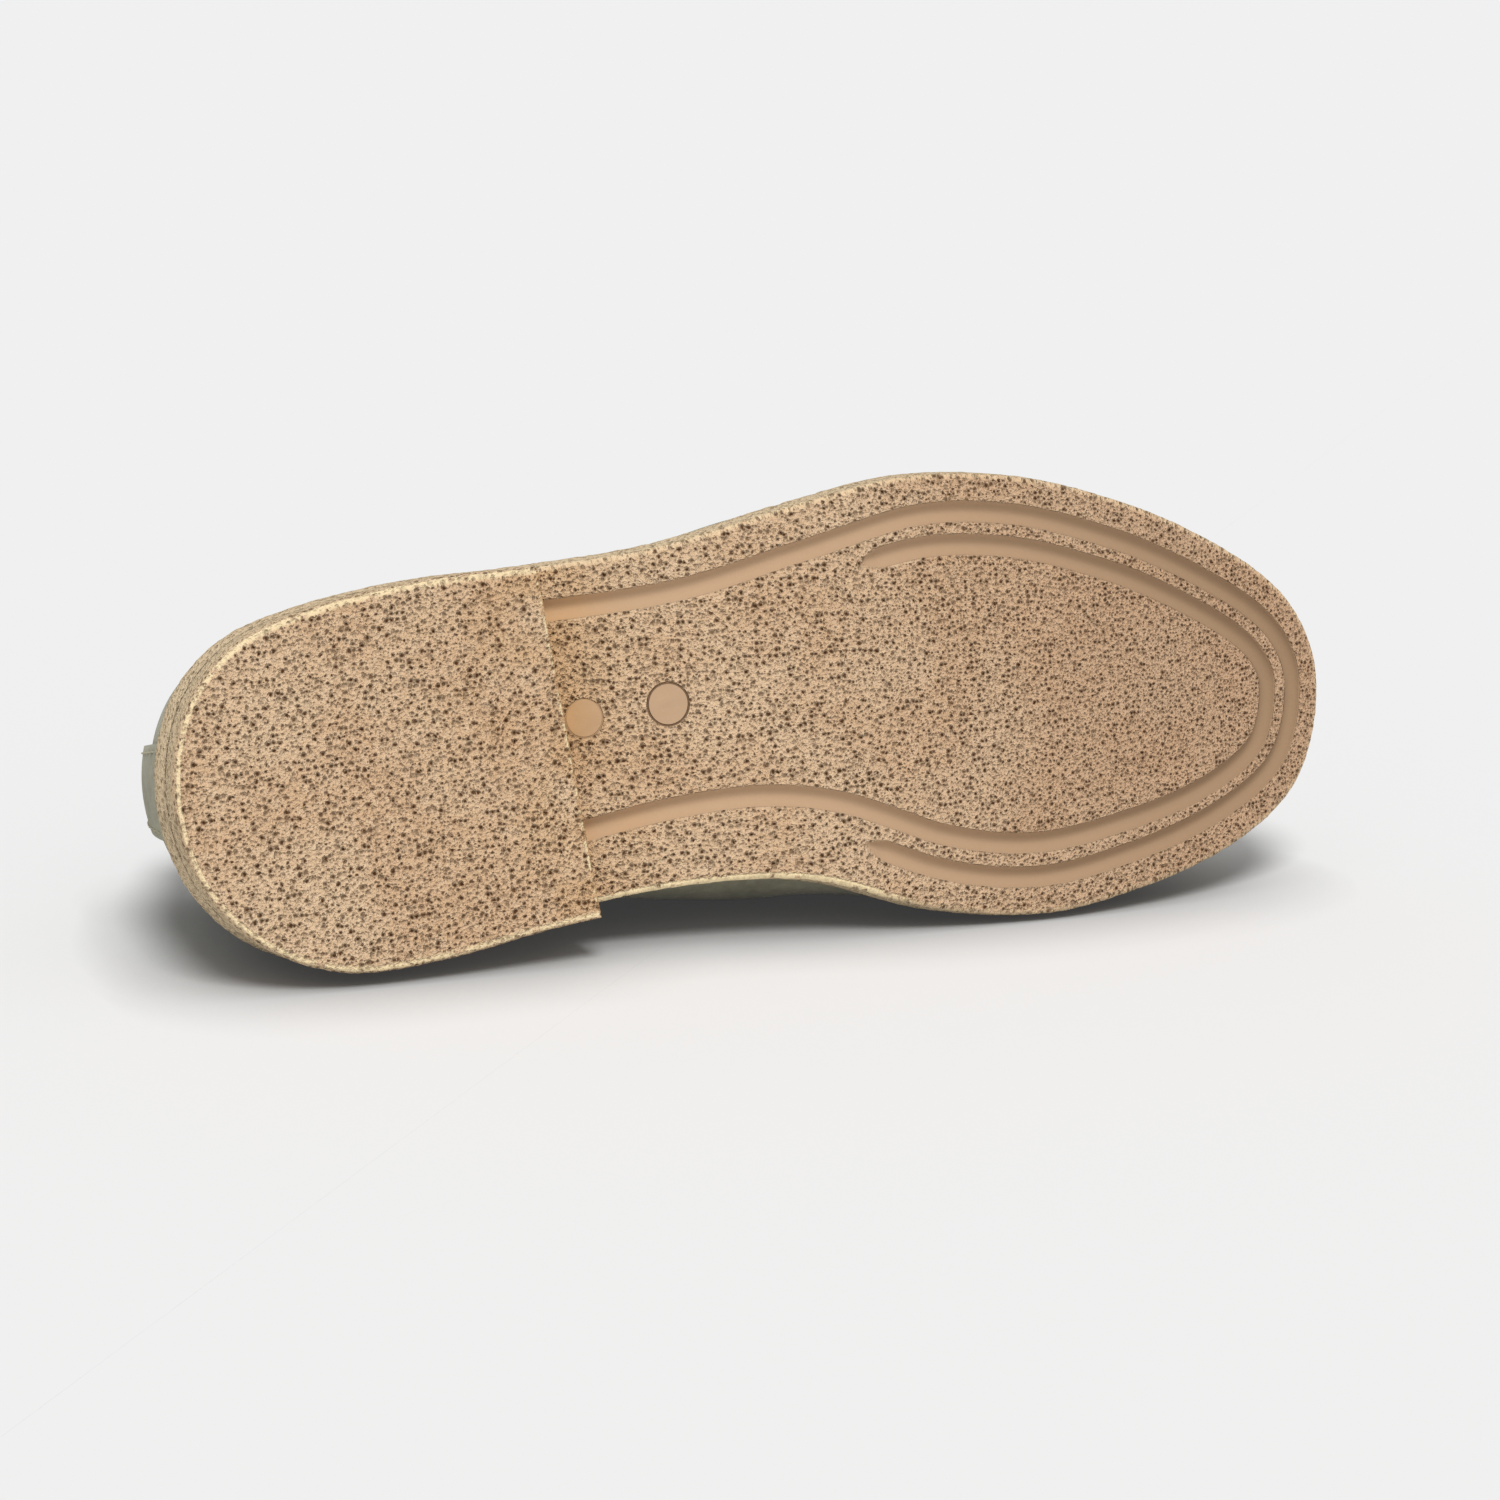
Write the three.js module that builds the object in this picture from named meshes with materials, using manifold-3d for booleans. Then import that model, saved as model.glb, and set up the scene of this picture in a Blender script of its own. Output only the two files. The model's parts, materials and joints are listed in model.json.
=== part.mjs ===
// Suede moccasin for the right foot, size 42, lying on its medial side.
//
// Everything is made in the shoe's own frame: +X from the back of the heel to the toe, +Y to the
// medial side, +Z up from the ground it would stand on. The last group then lays the shoe down.
// Lengths are in millimetres and angles in degrees.

import * as THREE from "three";
import { mergeVertices } from "three/addons/utils/BufferGeometryUtils.js";
import Module from "manifold-3d";

const wasm = await Module();
wasm.setup();

// Driving sizes
const soleLength = 293.3; // a last of 42 Paris points is 280 long, and the sole edge adds 13.3
const ballWidth = 104; // widest place of the sole
const soleThickness = 8;
const heelHeight = 9.5; // heel block, from the ground to the sole
const toeSpring = 9; // the sole's rise at the tip of the toe
const edgeBevel = 1.2; // rounded lower edge of sole and heel
const sideFlare = 0.5; // the sole is this much wider at its top than above its bevel
const heelCornerFlare = 1.4; // the heel's medial front corner stands out past the waist
const grooveWidth = 4.8;
const grooveDepth = 1.7;
const featherInset = 3; // sole edge to the foot of the upper
const collarHeight = 56; // back of the upper, above the sole
const upperWall = 1.8;
const seamHeight = 2.4; // raised moccasin seam, above the vamp
const seamWidth = 3.4;
const saddleThickness = 1.8;
const tongueThickness = 1.6;
const backStripThickness = 1.4;
const backStripWidth = 22;
const bindingThickness = 1;
const bindingDepth = 6;
const insoleThickness = 3;
const seat = 0.3; // clearance between two pieces that touch

// Places along the shoe, as shares of the sole's length
const heelBreastLateral = 0.286;
const heelBreastMedial = 0.326;
const waistEnds = 0.58; // here the sole comes down to the ground
const springStarts = 0.7; // here it leaves the ground again
const rimBack = 0.052;
const rimFront = 0.905;
const throatAt = 0.58; // front of the opening, along the rim
const tongueEnd = 0.475;
const tongueRoot = 0.66;
const outerGrooveEnds = 0.535; // free end, on the medial side
const innerGrooveEnds = 0.55; // free end, on the lateral side

// Plan of the sole: widths from the heel-to-toe line, as shares of the ball width
const outline = [
  { along: 0.0, medial: 0.0, lateral: 0.0 },
  { along: 0.02, medial: 0.212, lateral: 0.206 },
  { along: 0.06, medial: 0.331, lateral: 0.31 },
  { along: 0.12, medial: 0.4, lateral: 0.365 },
  { along: 0.2, medial: 0.395, lateral: 0.4 },
  { along: 0.3, medial: 0.344, lateral: 0.413 },
  { along: 0.4, medial: 0.316, lateral: 0.438 },
  { along: 0.5, medial: 0.332, lateral: 0.5 },
  { along: 0.6, medial: 0.4265, lateral: 0.549 },
  { along: 0.7, medial: 0.4725, lateral: 0.5345 },
  { along: 0.8, medial: 0.444, lateral: 0.4605 },
  { along: 0.9, medial: 0.3685, lateral: 0.3385 },
  { along: 0.97, medial: 0.243, lateral: 0.2 },
  { along: 1.0, medial: 0.0, lateral: 0.0 },
];

// Plan of the rim, which is the top line behind the throat and the raised moccasin seam before it.
// along: share of the way from the rim's back to its front. Widths as for the sole.
const rimPlan = [
  { along: 0.0, medial: 0.0, lateral: 0.0 },
  { along: 0.02, medial: 0.112, lateral: 0.112 },
  { along: 0.06, medial: 0.18, lateral: 0.18 },
  { along: 0.12, medial: 0.232, lateral: 0.238 },
  { along: 0.2, medial: 0.258, lateral: 0.275 },
  { along: 0.32, medial: 0.256, lateral: 0.295 },
  { along: 0.44, medial: 0.26, lateral: 0.31 },
  { along: 0.56, medial: 0.262, lateral: 0.318 },
  { along: 0.72, medial: 0.28, lateral: 0.33 },
  { along: 0.83, medial: 0.252, lateral: 0.292 },
  { along: 0.91, medial: 0.198, lateral: 0.222 },
  { along: 0.97, medial: 0.118, lateral: 0.124 },
  { along: 1.0, medial: 0.0, lateral: 0.0 },
];

// Sections of the wall. rise: from its foot to the rim, as a share of the collar height.
// Bulges: how far the belly stands out past the foot, as shares of the ball width. lean: slope of
// the wall where it meets the rim.
const sections = [
  { along: 0.0, rise: 1.0, medialBulge: 0.024, lateralBulge: 0.024, lean: 78 },
  { along: 0.08, rise: 0.97, medialBulge: 0.022, lateralBulge: 0.026, lean: 78 },
  { along: 0.2, rise: 0.86, medialBulge: 0.02, lateralBulge: 0.03, lean: 76 },
  { along: 0.32, rise: 0.8, medialBulge: 0.066, lateralBulge: 0.036, lean: 70 },
  { along: 0.42, rise: 0.84, medialBulge: 0.146, lateralBulge: 0.04, lean: 60 },
  { along: 0.5, rise: 0.89, medialBulge: 0.147, lateralBulge: 0.045, lean: 51 },
  { along: 0.58, rise: 0.87, medialBulge: 0.045, lateralBulge: 0.04, lean: 46 },
  { along: 0.7, rise: 0.71, medialBulge: 0.002, lateralBulge: 0.04, lean: 38 },
  { along: 0.82, rise: 0.52, medialBulge: 0.032, lateralBulge: 0.044, lean: 31 },
  { along: 0.92, rise: 0.39, medialBulge: 0.044, lateralBulge: 0.046, lean: 28 },
  { along: 1.0, rise: 0.32, medialBulge: 0.046, lateralBulge: 0.046, lean: 27 },
];

// Middles of the two grooves: distance from the sole's edge, as shares of the ball width
const grooveInsets = [
  { along: 0.0, outer: 0.1, innerMedial: 0.16, innerLateral: 0.172 },
  { along: 0.35, outer: 0.104, innerMedial: 0.168, innerLateral: 0.172 },
  { along: 0.46, outer: 0.109, innerMedial: 0.188, innerLateral: 0.172 },
  { along: 0.55, outer: 0.103, innerMedial: 0.179, innerLateral: 0.172 },
  { along: 0.63, outer: 0.092, innerMedial: 0.169, innerLateral: 0.165 },
  { along: 0.74, outer: 0.093, innerMedial: 0.17, innerLateral: 0.167 },
  { along: 0.88, outer: 0.097, innerMedial: 0.167, innerLateral: 0.171 },
  { along: 1.0, outer: 0.088, innerMedial: 0.165, innerLateral: 0.168 },
];

// Side view of the saddle. up: share of the collar height above the ground. rear and front: its
// two edges, as shares of the sole's length.
const saddleEdges = [
  { up: 0.78, rear: 0.479, front: 0.521 },
  { up: 0.95, rear: 0.487, front: 0.536 },
  { up: 1.15, rear: 0.5, front: 0.562 },
  { up: 1.4, rear: 0.51, front: 0.585 },
  { up: 1.8, rear: 0.52, front: 0.6 },
];

// Fineness of the faceted solids
const stationsPerSide = 42;
const wallLevels = 7;
const apronColumns = 8;
const soleColumns = 2;

const turn = 2 * Math.PI;
const radians = (degrees) => (degrees * Math.PI) / 180;
const mix = (a, b, share) => a + (b - a) * share;
const clamp01 = (value) => Math.min(1, Math.max(0, value));
const ease = (share) => clamp01(share) ** 2 * (3 - 2 * clamp01(share));
const rows = (count) => [...Array(count).keys()];
const up = new THREE.Vector3(0, 0, 1);

// A place along the sole and the angle that stands for it: even steps of the angle crowd at the
// heel and the toe, where the outline turns.
const angleOf = (along) => Math.acos(1 - 2 * along);
const alongOf = (angle) => (1 - Math.cos(angle)) / 2;

// Smooth curve through one column of a table, over the angle. Past both ends the table goes on as
// its mirror image, turned over (sign -1) for a width that ends at nothing.
function curveThrough(table, column, sign = 1) {
  const inside = table.map((row) => [angleOf(row.along), row[column]]);
  const [second, lastButOne] = [inside[1], inside.at(-2)];
  const knots = [
    [-second[0], sign * second[1]],
    ...inside,
    [turn - lastButOne[0], sign * lastButOne[1]],
  ];
  const steepness = (a, b) => (b[1] - a[1]) / (b[0] - a[0]);
  const slopeAt = (k) => {
    if (k === 0) return steepness(knots[0], knots[1]);
    if (k === knots.length - 1) return steepness(knots.at(-2), knots.at(-1));
    const [a, b, c] = [knots[k - 1], knots[k], knots[k + 1]];
    const share = (b[0] - a[0]) / (c[0] - a[0]);
    return mix(steepness(a, b), steepness(b, c), share);
  };
  const slopes = knots.map((_, k) => slopeAt(k));
  return (angle) => {
    let k = 1;
    while (k < knots.length - 2 && angle > knots[k + 1][0]) k += 1;
    const span = knots[k + 1][0] - knots[k][0];
    const s = (angle - knots[k][0]) / span;
    const rise = knots[k + 1][1] - knots[k][1];
    const bend = s * (1 - s) * ((1 - s) * (span * slopes[k] - rise) - s * (span * slopes[k + 1] - rise));
    return knots[k][1] + rise * s + bend;
  };
}

const planOf = (table) => ({
  medial: curveThrough(table, "medial", -1),
  lateral: curveThrough(table, "lateral", -1),
});
const soleWidth = planOf(outline);
const rimWidth = planOf(rimPlan);
const rise = curveThrough(sections, "rise");
const lean = curveThrough(sections, "lean");
const bulge = {
  medial: curveThrough(sections, "medialBulge"),
  lateral: curveThrough(sections, "lateralBulge"),
};
const outerInset = curveThrough(grooveInsets, "outer");
const innerInset = {
  medial: curveThrough(grooveInsets, "innerMedial"),
  lateral: curveThrough(grooveInsets, "innerLateral"),
};

// A loop round the shoe is counted in t, from 0 at the heel over the medial side to half a turn at
// the toe and back over the lateral side.
const sideOf = (t) => (t <= Math.PI ? "medial" : "lateral");
const foldedAngle = (t) => (t <= Math.PI ? t : turn - t);

// Point of a plan whose widths are given, between two places along the shoe
function planPoint(widths, t, back = 0, front = 1) {
  const side = sideOf(t);
  const y = ballWidth * widths[side](foldedAngle(t)) * (side === "medial" ? 1 : -1);
  return new THREE.Vector2(soleLength * mix(back, front, alongOf(t)), y);
}

// Point of a plan moved inwards by inset, with the outward direction there
function insetPoint(t, inset, widths = soleWidth, back = 0, front = 1) {
  const step = 1e-3;
  const at = (place) => planPoint(widths, ((place % turn) + turn) % turn, back, front);
  const [before, after] = [at(t - step), at(t + step)];
  const outward = new THREE.Vector2(before.y - after.y, after.x - before.x).normalize();
  const point = at(t).addScaledVector(outward, -inset);
  return { point, outward: new THREE.Vector3(outward.x, outward.y, 0) };
}

// Underside of the sole over the ground: level over the heel, down through the waist, flat at the
// ball, and up to the toe.
function undersideAt(x) {
  const along = x / soleLength;
  const waistStarts = 0.5 * (heelBreastLateral + heelBreastMedial) - 0.04;
  const down = clamp01((along - waistStarts) / (waistEnds - waistStarts));
  const spring = clamp01((along - springStarts) / (1 - springStarts));
  return heelHeight * (1 - ease(down)) + toeSpring * spring ** 1.8;
}
const soleTopAt = (x) => undersideAt(x) + soleThickness;

// Wall of the upper: a Bezier curve from its foot (v 0) to the rim (v 1)
function wallCurve(t, v) {
  const angle = foldedAngle(t);
  const { point, outward } = insetPoint(t, featherInset);
  const foot = new THREE.Vector3(point.x, point.y, soleTopAt(point.x) + seat);
  const plan = planPoint(rimWidth, t, rimBack, rimFront);
  const top = new THREE.Vector3(plan.x, plan.y, foot.z + rise(angle) * collarHeight);
  const slope = radians(lean(angle));
  const reach = 0.38 * top.distanceTo(foot);
  const belly = foot
    .clone()
    .addScaledVector(up, 0.4 * (top.z - foot.z))
    .addScaledVector(outward, bulge[sideOf(t)](angle) * ballWidth);
  const shoulder = top
    .clone()
    .addScaledVector(outward, reach * Math.cos(slope))
    .addScaledVector(up, -reach * Math.sin(slope));
  return new THREE.CubicBezierCurve3(foot, belly, shoulder, top).getPoint(v);
}

// Point of the wall, moved outwards by offset along the surface's own normal
function wallPoint(t, v, offset = 0) {
  const wrapped = ((t % turn) + turn) % turn;
  const point = wallCurve(wrapped, v);
  if (!offset) return point;
  const step = 2e-3;
  const along = wallCurve((wrapped + step) % turn, v).sub(wallCurve((wrapped - step + turn) % turn, v));
  const upwards = wallCurve(wrapped, v + step).sub(wallCurve(wrapped, v - step));
  return point.addScaledVector(upwards.cross(along).normalize(), offset);
}

// Place on the top of the foot, an inset away from the rim
const steepestApron = radians(44);
const apronSlope = (angle) => Math.tan(Math.min(steepestApron, radians(lean(angle))));
function nearRim(t, inset) {
  const { point } = insetPoint(t, inset, rimWidth, rimBack, rimFront);
  const height = wallCurve(t, 1).z + inset * apronSlope(foldedAngle(t));
  return new THREE.Vector3(point.x, point.y, height);
}

// Top of the foot between its two edges, which lie an inset away from the rim. Across a row at
// this angle, w goes from the medial to the lateral edge, and the row leaves both at a slope.
function apronCurve(angle, w, inset) {
  const [medial, lateral] = [nearRim(angle, inset), nearRim(turn - angle, inset)];
  const crown = apronSlope(angle) * medial.distanceTo(lateral) * w * (1 - w);
  return medial.lerp(lateral, w).addScaledVector(up, crown);
}

function apronPoint(angle, w, inset = 0, offset = 0) {
  const point = apronCurve(angle, w, inset);
  if (!offset) return point;
  const step = 2e-3;
  const forwards = apronCurve(angle + step, w, inset).sub(apronCurve(angle - step, w, inset));
  const across = apronCurve(angle, w + step, inset).sub(apronCurve(angle, w - step, inset));
  const normal = across.cross(forwards);
  return point.addScaledVector(normal.lengthSq() > 1e-12 ? normal.normalize() : up, offset);
}

// Vertices and faces of a closed skin
class Skin {
  positions = [];
  faces = [];

  add(point) {
    this.positions.push(point.x, point.y, point.z);
    return this.positions.length / 3 - 1;
  }

  addAll(points) {
    return points.map((point) => this.add(point));
  }

  // A flat face as a fan of triangles; corners that fall together count once
  face(corners) {
    const count = corners.length;
    const kept = corners.filter((corner, k) => corner !== corners[(k + count - 1) % count]);
    for (const k of rows(Math.max(0, kept.length - 2))) this.faces.push(kept[0], kept[k + 1], kept[k + 2]);
  }

  // Faces between two rows of vertices; a closed pair of rows joins its ends too
  join(lower, upper, closed = false) {
    const count = lower.length;
    for (const k of rows(closed ? count : count - 1)) {
      const next = (k + 1) % count;
      this.face([lower[k], lower[next], upper[next], upper[k]]);
    }
  }

  // Rings swept along a path and closed at both ends by the given faces
  sweep(rings, endFaces) {
    rings.slice(1).forEach((ring, k) => this.join(rings[k], ring, true));
    for (const corners of endFaces) {
      this.face(corners.map((k) => rings[0][k]).reverse());
      this.face(corners.map((k) => rings.at(-1)[k]));
    }
  }

  // The skin as a solid, turned so that its faces point outwards
  solid() {
    const make = (triVerts) =>
      new wasm.Manifold(
        new wasm.Mesh({
          numProp: 3,
          vertProperties: new Float32Array(this.positions),
          triVerts: new Uint32Array(triVerts),
        }),
      );
    const made = make(this.faces);
    return made.volume() > 0 ? made : make([...this.faces].reverse());
  }
}

// A three.js geometry as a solid
function solidOf(geometry) {
  const bare = geometry.index ? geometry.toNonIndexed() : geometry.clone();
  bare.deleteAttribute("normal");
  bare.deleteAttribute("uv");
  const merged = mergeVertices(bare, 1e-4);
  return new wasm.Manifold(
    new wasm.Mesh({
      numProp: 3,
      vertProperties: new Float32Array(merged.attributes.position.array),
      triVerts: new Uint32Array(merged.index.array),
    }),
  );
}

// A flat outline extruded both ways across the third axis. place turns (u, v, depth) into a point.
function prism(points, depth, place) {
  const shape = new THREE.Shape(points);
  const geometry = new THREE.ExtrudeGeometry(shape, { depth: 2 * depth, bevelEnabled: false });
  geometry.translate(0, 0, -depth);
  geometry.applyMatrix4(place);
  const solid = solidOf(geometry);
  return solid;
}
const sideView = new THREE.Matrix4().makeBasis(
  new THREE.Vector3(1, 0, 0),
  new THREE.Vector3(0, 0, 1),
  new THREE.Vector3(0, -1, 0),
);
const backView = new THREE.Matrix4().makeBasis(
  new THREE.Vector3(0, 1, 0),
  new THREE.Vector3(0, 0, 1),
  new THREE.Vector3(1, 0, 0),
);
const farPast = 2 * soleLength; // longer than anything that a prism cuts

const loopAngles = rows(2 * stationsPerSide).map((k) => (Math.PI * k) / stationsPerSide);
const stationAngle = (station) => (Math.PI * station) / stationsPerSide;
const lateralTwin = (station) => (2 * stationsPerSide - station) % (2 * stationsPerSide);

// Rows that close a loop of vertices from its medial to its lateral side, one for each station
function closeLoop(skin, loop, columns, isTop, pointAt) {
  let last = Array(columns + 1).fill(loop[0]);
  for (const station of rows(stationsPerSide + 1).slice(1)) {
    const [medial, lateral] = [loop[station], loop[lateralTwin(station)]];
    const inner = rows(columns - 1).map((k) =>
      station === stationsPerSide ? medial : skin.add(pointAt(stationAngle(station), (k + 1) / columns)),
    );
    const row = [medial, ...inner, lateral];
    if (isTop) skin.join(row, last);
    else skin.join(last, row);
    last = row;
  }
}

// A plate with the outline of the sole: rings are its side, from the underside to the top
function plate(rings, columns) {
  const skin = new Skin();
  const place = (ring) => (t) => {
    const { point } = insetPoint(t, ring.inset(t));
    return new THREE.Vector3(point.x, point.y, ring.height(point.x));
  };
  const loops = rings.map((ring) => skin.addAll(loopAngles.map(place(ring))));
  loops.slice(1).forEach((loop, k) => skin.join(loops[k], loop, true));
  for (const [ring, loop] of [[rings[0], loops[0]], [rings.at(-1), loops.at(-1)]]) {
    closeLoop(skin, loop, columns, ring !== rings[0], (angle, w) => {
      const flat = place(ring)(angle).lerp(place(ring)(turn - angle), w);
      return flat.setZ(ring.height(flat.x));
    });
  }
  return skin.solid();
}

// A cove groove along the sole's outline, from one loop angle to another, as the solid to cut away
function groove(insetAt, from, to) {
  const steps = 50;
  const sides = 6;
  const endRun = grooveWidth / soleLength;
  const skin = new Skin();
  const rings = rows(steps + 1).map((k) => {
    const share = k / steps;
    const t = mix(from, to, share);
    const toEnd = Math.min(share, 1 - share) * Math.abs(to - from);
    const size = Math.sqrt(clamp01(0.02 + toEnd / (2 * endRun)));
    const { point, outward } = insetPoint(t, insetAt(t) * ballWidth);
    const arc = rows(sides).map((n) => Math.PI * (n / (sides - 1)));
    const cove = arc.map((a) => {
      const across = (-Math.cos(a) * grooveWidth * size) / 2;
      return new THREE.Vector3(point.x, point.y, undersideAt(point.x) + Math.sin(a) * grooveDepth * size)
        .addScaledVector(outward, across);
    });
    const below = [cove.at(-1), cove[0]].map((corner) => corner.clone().addScaledVector(up, -1));
    return skin.addAll([...cove, ...below]);
  });
  skin.sweep(rings, [rows(sides + 2)]);
  return skin.solid();
}

// Line of the heel's breast across the shoe, from its lateral to its medial end
function behindBreast(gap) {
  const rear = -soleLength;
  const slant = (heelBreastMedial - heelBreastLateral) * soleLength;
  const at = (y) => heelBreastLateral * soleLength + gap + slant * (0.5 + y / ballWidth);
  const points = [
    new THREE.Vector2(rear, -ballWidth),
    new THREE.Vector2(at(-ballWidth), -ballWidth),
    new THREE.Vector2(at(ballWidth), ballWidth),
    new THREE.Vector2(rear, ballWidth),
  ];
  return prism(points, soleLength, new THREE.Matrix4());
}

function makeOutsole() {
  const body = plate(
    [
      { inset: () => edgeBevel + sideFlare, height: undersideAt },
      { inset: () => sideFlare, height: (x) => undersideAt(x) + edgeBevel },
      { inset: () => 0, height: (x) => soleTopAt(x) - edgeBevel / 2 },
      { inset: () => edgeBevel / 2, height: soleTopAt },
    ],
    soleColumns,
  );
  const underHeel = 0.02; // the grooves run this share of the length behind the breast
  const outer = groove(
    (t) => outerInset(foldedAngle(t)),
    turn - angleOf(heelBreastLateral - underHeel),
    angleOf(outerGrooveEnds),
  );
  const inner = groove(
    (t) => innerInset[sideOf(t)](foldedAngle(t)),
    turn - angleOf(innerGrooveEnds),
    angleOf(heelBreastMedial - underHeel),
  );
  return body.subtract(outer).subtract(inner);
}

function makeHeel() {
  const flareOf = (t) => {
    const reach = (alongOf(t) - 0.2) / (heelBreastMedial - 0.2);
    return sideOf(t) === "medial" ? -heelCornerFlare * ease(reach) : 0;
  };
  const topOf = (x) => undersideAt(x) - seat;
  const block = plate(
    [
      { inset: (t) => edgeBevel + flareOf(t), height: () => 0 },
      { inset: flareOf, height: () => edgeBevel },
      { inset: (t) => sideFlare / 2 + flareOf(t), height: (x) => Math.max(topOf(x), 2 * edgeBevel) },
    ],
    soleColumns,
  );
  return block.intersect(behindBreast(0));
}

function makeInsole() {
  const edge = featherInset + upperWall + 2 * seat;
  const base = (x) => soleTopAt(x) + seat;
  return plate(
    [
      { inset: () => edge, height: base },
      { inset: () => edge, height: (x) => base(x) + 0.7 * insoleThickness },
      { inset: () => edge + 0.3 * insoleThickness, height: (x) => base(x) + insoleThickness },
    ],
    soleColumns,
  );
}

// Height of the raised seam: nothing under the saddle, full in front of it
function seamRise(t) {
  return seamHeight * ease((alongOf(t) - throatAt - 0.04) / 0.05);
}

// The hollow upper. Its foot stands open on the sole. Behind the throat its wall ends in the top
// line; in front of it the wall goes over the raised seam into the apron on top of the toes.
function makeUpper() {
  const skin = new Skin();
  const throat = Math.round((stationsPerSide * angleOf(throatAt)) / Math.PI);
  const inFront = (t) => foldedAngle(t) >= stationAngle(throat) - 1e-9;
  const seamShare = (t) => seamWidth / 2 / wallCurve(t, 1).distanceTo(wallCurve(t, 0));
  const levels = rows(wallLevels).map((k) => k / wallLevels);
  const outerWall = levels.map((v) =>
    skin.addAll(loopAngles.map((t) => wallPoint(t, v * (1 - 2 * seamShare(t))))),
  );
  const innerWall = levels.map((v) =>
    skin.addAll(loopAngles.map((t) => wallPoint(t, v * (1 - 4 * seamShare(t)), -upperWall))),
  );
  const rim = [
    (t) => wallPoint(t, 1 - seamShare(t)),
    (t) => wallPoint(t, inFront(t) ? 1 - seamShare(t) / 2 : 1, inFront(t) ? seamRise(t) : 0),
    (t) =>
      inFront(t)
        ? nearRim(t, seamWidth / 4).addScaledVector(up, seamRise(t))
        : wallPoint(t, 1, -upperWall),
    (t) => (inFront(t) ? nearRim(t, seamWidth / 2) : wallPoint(t, 1 - seamShare(t), -upperWall)),
  ].map((ring) => skin.addAll(loopAngles.map(ring)));
  const lining = skin.addAll(
    loopAngles.map((t) =>
      inFront(t) ? wallPoint(t, 1, -upperWall) : wallPoint(t, 1 - 2 * seamShare(t), -upperWall),
    ),
  );
  const outer = [...outerWall, ...rim];
  const inner = [...innerWall, lining];
  outer.slice(1).forEach((loop, k) => skin.join(outer[k], loop, true));
  inner.slice(1).forEach((loop, k) => skin.join(loop, inner[k], true));
  skin.join(inner[0], outer[0], true);

  const [outerRim, innerRim] = [rim.at(-1), lining];
  const behindThroat = rows(2 * throat + 1).map((k) => lateralTwin(throat) + k);
  const aroundHeel = behindThroat.map((k) => k % (2 * stationsPerSide));
  skin.join(aroundHeel.map((k) => outerRim[k]), aroundHeel.map((k) => innerRim[k]));

  const apronRow = (loop, station, inset, offset) => {
    const [medial, lateral] = [loop[station], loop[lateralTwin(station)]];
    if (station === stationsPerSide) return Array(apronColumns + 1).fill(medial);
    const inside = rows(apronColumns - 1).map((k) =>
      skin.add(apronPoint(stationAngle(station), (k + 1) / apronColumns, inset, offset)),
    );
    return [medial, ...inside, lateral];
  };
  const stations = rows(stationsPerSide + 1).slice(throat);
  const topRows = stations.map((station) => apronRow(outerRim, station, seamWidth / 2, 0));
  const underRows = stations.map((station) => apronRow(innerRim, station, upperWall, -upperWall));
  topRows.slice(1).forEach((row, k) => skin.join(row, topRows[k]));
  underRows.slice(1).forEach((row, k) => skin.join(underRows[k], row));
  skin.join(topRows[0], underRows[0]);
  return skin.solid();
}

// The whole closed form of the shoe's upper, grown by offset: overlays are cut between two of them
function upperForm(offset) {
  const skin = new Skin();
  const levels = rows(wallLevels + 1).map((k) => k / wallLevels);
  const loops = levels.map((v) => skin.addAll(loopAngles.map((t) => wallPoint(t, v, offset))));
  const inset = seamWidth / 2;
  const edge = (t) => apronPoint(foldedAngle(t), sideOf(t) === "medial" ? 0 : 1, inset, offset);
  loops.push(skin.addAll(loopAngles.map(edge)));
  loops.slice(1).forEach((loop, k) => skin.join(loops[k], loop, true));
  closeLoop(skin, loops.at(-1), apronColumns, true, (angle, w) => apronPoint(angle, w, inset, offset));
  closeLoop(skin, loops[0], soleColumns, false, (angle, w) =>
    wallPoint(angle, 0, offset).lerp(wallPoint(turn - angle, 0, offset), w),
  );
  return skin.solid();
}
const overlay = (thickness) => upperForm(seat + thickness).subtract(upperForm(seat));

// Side view of the saddle's two edges
function saddleEdge(column, shift = 0) {
  const at = (row) => new THREE.Vector2(row[column] * soleLength + shift, row.up * collarHeight);
  return new THREE.SplineCurve(saddleEdges.map(at)).getPoints(12);
}
const aboveSole = (gap) => {
  const points = rows(25).map((k) => {
    const x = (soleLength * (k - 2)) / 20;
    return new THREE.Vector2(x, soleTopAt(x) + gap);
  });
  points.push(new THREE.Vector2(points.at(-1).x, farPast), new THREE.Vector2(points[0].x, farPast));
  return prism(points, ballWidth, sideView);
};

function makeSaddle() {
  const outlineOfBand = [...saddleEdge("rear"), ...saddleEdge("front").reverse()];
  const band = prism(outlineOfBand, ballWidth, sideView);
  return overlay(saddleThickness).intersect(band).intersect(aboveSole(2 * seat));
}

function makeBackStrip() {
  const foot = soleTopAt(0);
  const top = foot + collarHeight - bindingDepth - 2 * seat;
  const half = backStripWidth / 2;
  const points = [
    new THREE.Vector2(-half, foot - 1),
    new THREE.Vector2(half, foot - 1),
    new THREE.Vector2(0.8 * half, mix(foot, top, 0.6)),
    new THREE.Vector2(0.66 * half, top - 2),
    new THREE.Vector2(0.5 * half, top),
    new THREE.Vector2(-0.5 * half, top),
    new THREE.Vector2(-0.66 * half, top - 2),
    new THREE.Vector2(-0.8 * half, mix(foot, top, 0.6)),
  ];
  const strip = prism(points, 0.15 * soleLength, backView);
  return overlay(backStripThickness).intersect(strip).intersect(aboveSole(2 * seat));
}

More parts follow.
